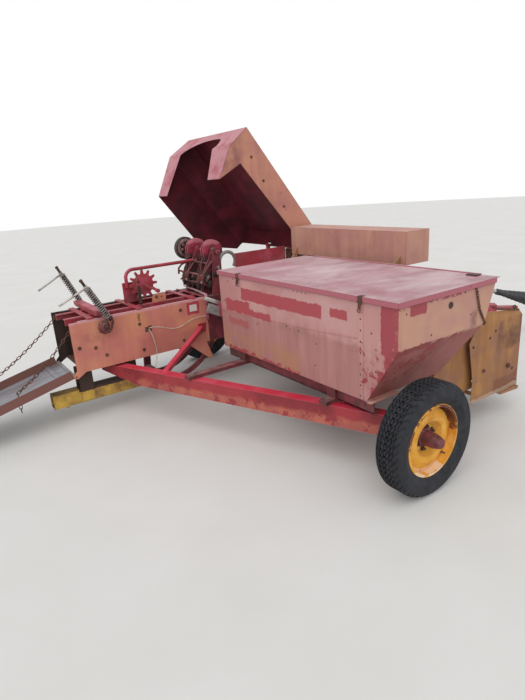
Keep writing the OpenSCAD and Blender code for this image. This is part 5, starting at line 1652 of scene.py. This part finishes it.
@dataclass
class DriveTrim:
    """Ribs round the bells at both ends of the drive shaft's guard.

    start is the shaft's rear joint, over the drawbar's pivot, and swing and droop are its angles in
    degrees. The guard begins at first, and flares from the radius of its neck by flare at each end.
    """

    start: Point = (1690.0, 0.0, 800.0)
    swing: float = 46.0
    droop: float = 14.7
    first: float = 60.0
    neck: float = 29.0
    flare: float = 34.0

    def way(self) -> Vector:
        """Gives the shaft's direction, forward and down."""
        droop, swing = radians(self.droop), radians(self.swing)
        return Vector((cos(droop) * cos(swing), -cos(droop) * sin(swing), -sin(droop)))

    def point(self, along: float) -> Vector:
        """Gives the point on the shaft's axis that is this far along the guard."""
        return Vector(self.start) + self.way() * (self.first + along)

    def build(self) -> None:
        """Builds the guard's ribs."""
        ribs = Shape()
        for along in (1500, 1540, 1580, 1620, 1660, 1700):
            radius = self.neck + self.flare * (along - 1480) / 240
            ribs.ring(self.point(along), self.way(), radius, 3, 40, 6)
        for along in (64, 90, 115, 140):
            radius = self.neck + self.flare - self.flare * (along - 60) / 120
            ribs.ring(self.point(along), self.way(), radius, 3, 40, 6)
        ribs.finish("guard_ribs", "drawbar", PLASTIC, "black_plastic")


@dataclass
class Studio:
    """Floor, light and the camera, which stands where the photograph was taken from."""

    # The camera's place and axes, and its lens in mm on a sensor 36 mm wide.
    eye: Point = (-1897.0, -3694.0, 1541.0)
    right: Point = (0.8124, -0.5796, -0.0637)
    up: Point = (0.2286, 0.2161, 0.9492)
    forward: Point = (0.5364, 0.7857, -0.3081)
    lens: float = 26.13
    world_strength: float = 0.8
    sun_strength: float = 1.35
    # How wide the sun is in degrees, where it stands, and the floor's radius in metres.
    sun_width: float = 70.0
    sun_from: Point = (-0.52, -0.46, 0.72)
    floor_radius: float = 30.0

    def camera(self) -> None:
        """Sets up the camera."""
        data = bpy.data.cameras.new("photo_view")
        data.lens = self.lens
        data.sensor_width = 36.0
        camera = bpy.data.objects.new("photo_view", data)
        bpy.context.scene.collection.objects.link(camera)
        turn = Matrix((self.right, self.up, [-c for c in self.forward])).transposed().to_4x4()
        camera.matrix_world = Matrix.Translation(place(*self.eye)) @ turn
        bpy.context.scene.camera = camera

    def light(self) -> None:
        """Lights the object as a bright overcast sky does: softly, and mostly from above."""
        world = bpy.data.worlds.new("overcast")
        bpy.context.scene.world = world
        world.use_nodes = True
        tree = world.node_tree
        tree.nodes.clear()
        rays = add_node(tree, "ShaderNodeLightPath")
        seen = maths(tree, "MAXIMUM", rays.outputs["Is Camera Ray"], rays.outputs["Is Glossy Ray"])
        seen = maths(tree, "MAXIMUM", seen, rays.outputs["Is Transmission Ray"])
        sky = add_node(tree, "ShaderNodeBackground", {
            "Color": linear("#f4f6fa"), "Strength": self.world_strength,
        })
        white = add_node(tree, "ShaderNodeBackground", {"Color": (1, 1, 1, 1), "Strength": 1.0})
        both = add_node(tree, "ShaderNodeMixShader", {0: seen, 1: sky.outputs[0], 2: white.outputs[0]})
        add_node(tree, "ShaderNodeOutputWorld", {"Surface": both.outputs[0]})
        data = bpy.data.lights.new("soft_sun", "SUN")
        data.energy = self.sun_strength
        data.angle = radians(self.sun_width)
        lamp = bpy.data.objects.new("soft_sun", data)
        bpy.context.scene.collection.objects.link(lamp)
        lamp.matrix_world = aim((0, 0, 5), self.sun_from)

    def floor(self) -> None:
        """Lays the plain pale floor."""
        mesh = bmesh.new()
        bmesh.ops.create_circle(mesh, cap_ends=True, segments=64, radius=self.floor_radius)
        data = bpy.data.meshes.new("floor")
        mesh.to_mesh(data)
        mesh.free()
        data.materials.append(SHOP.material(Finish("pale_floor", "#dcdad6", 0.9, (
            Layer(P.CLOUD, "#d6d4cf", 600, 0.5, 0.2),
        ))))
        plane = bpy.data.objects.new("floor", data)
        bpy.context.scene.collection.objects.link(plane)

    def build(self) -> None:
        """Builds the studio."""
        self.camera()
        self.light()
        self.floor()
        bpy.context.scene.view_settings.view_transform = "Standard"


def main() -> None:
    """Builds the machine's pieces in order."""
    logging.basicConfig(level=logging.INFO, format="%(name)s %(message)s")
    studio = Studio()
    studio.build()
    FORWARD_TWINE.build()
    DOWN_TWINE.build()
    SHOP.dress_frame()
    Wheel("right", tuple(WHEEL_RIGHT), -1).build()
    Wheel("left", tuple(WHEEL_LEFT), 1).build()
    TwineBox().build()
    BaleChamber().build()
    KnotterStack().build()
    Hood().build()
    PickupTrim().build()
    DriveTrim().build()


if __name__ == "__main__":
    main()
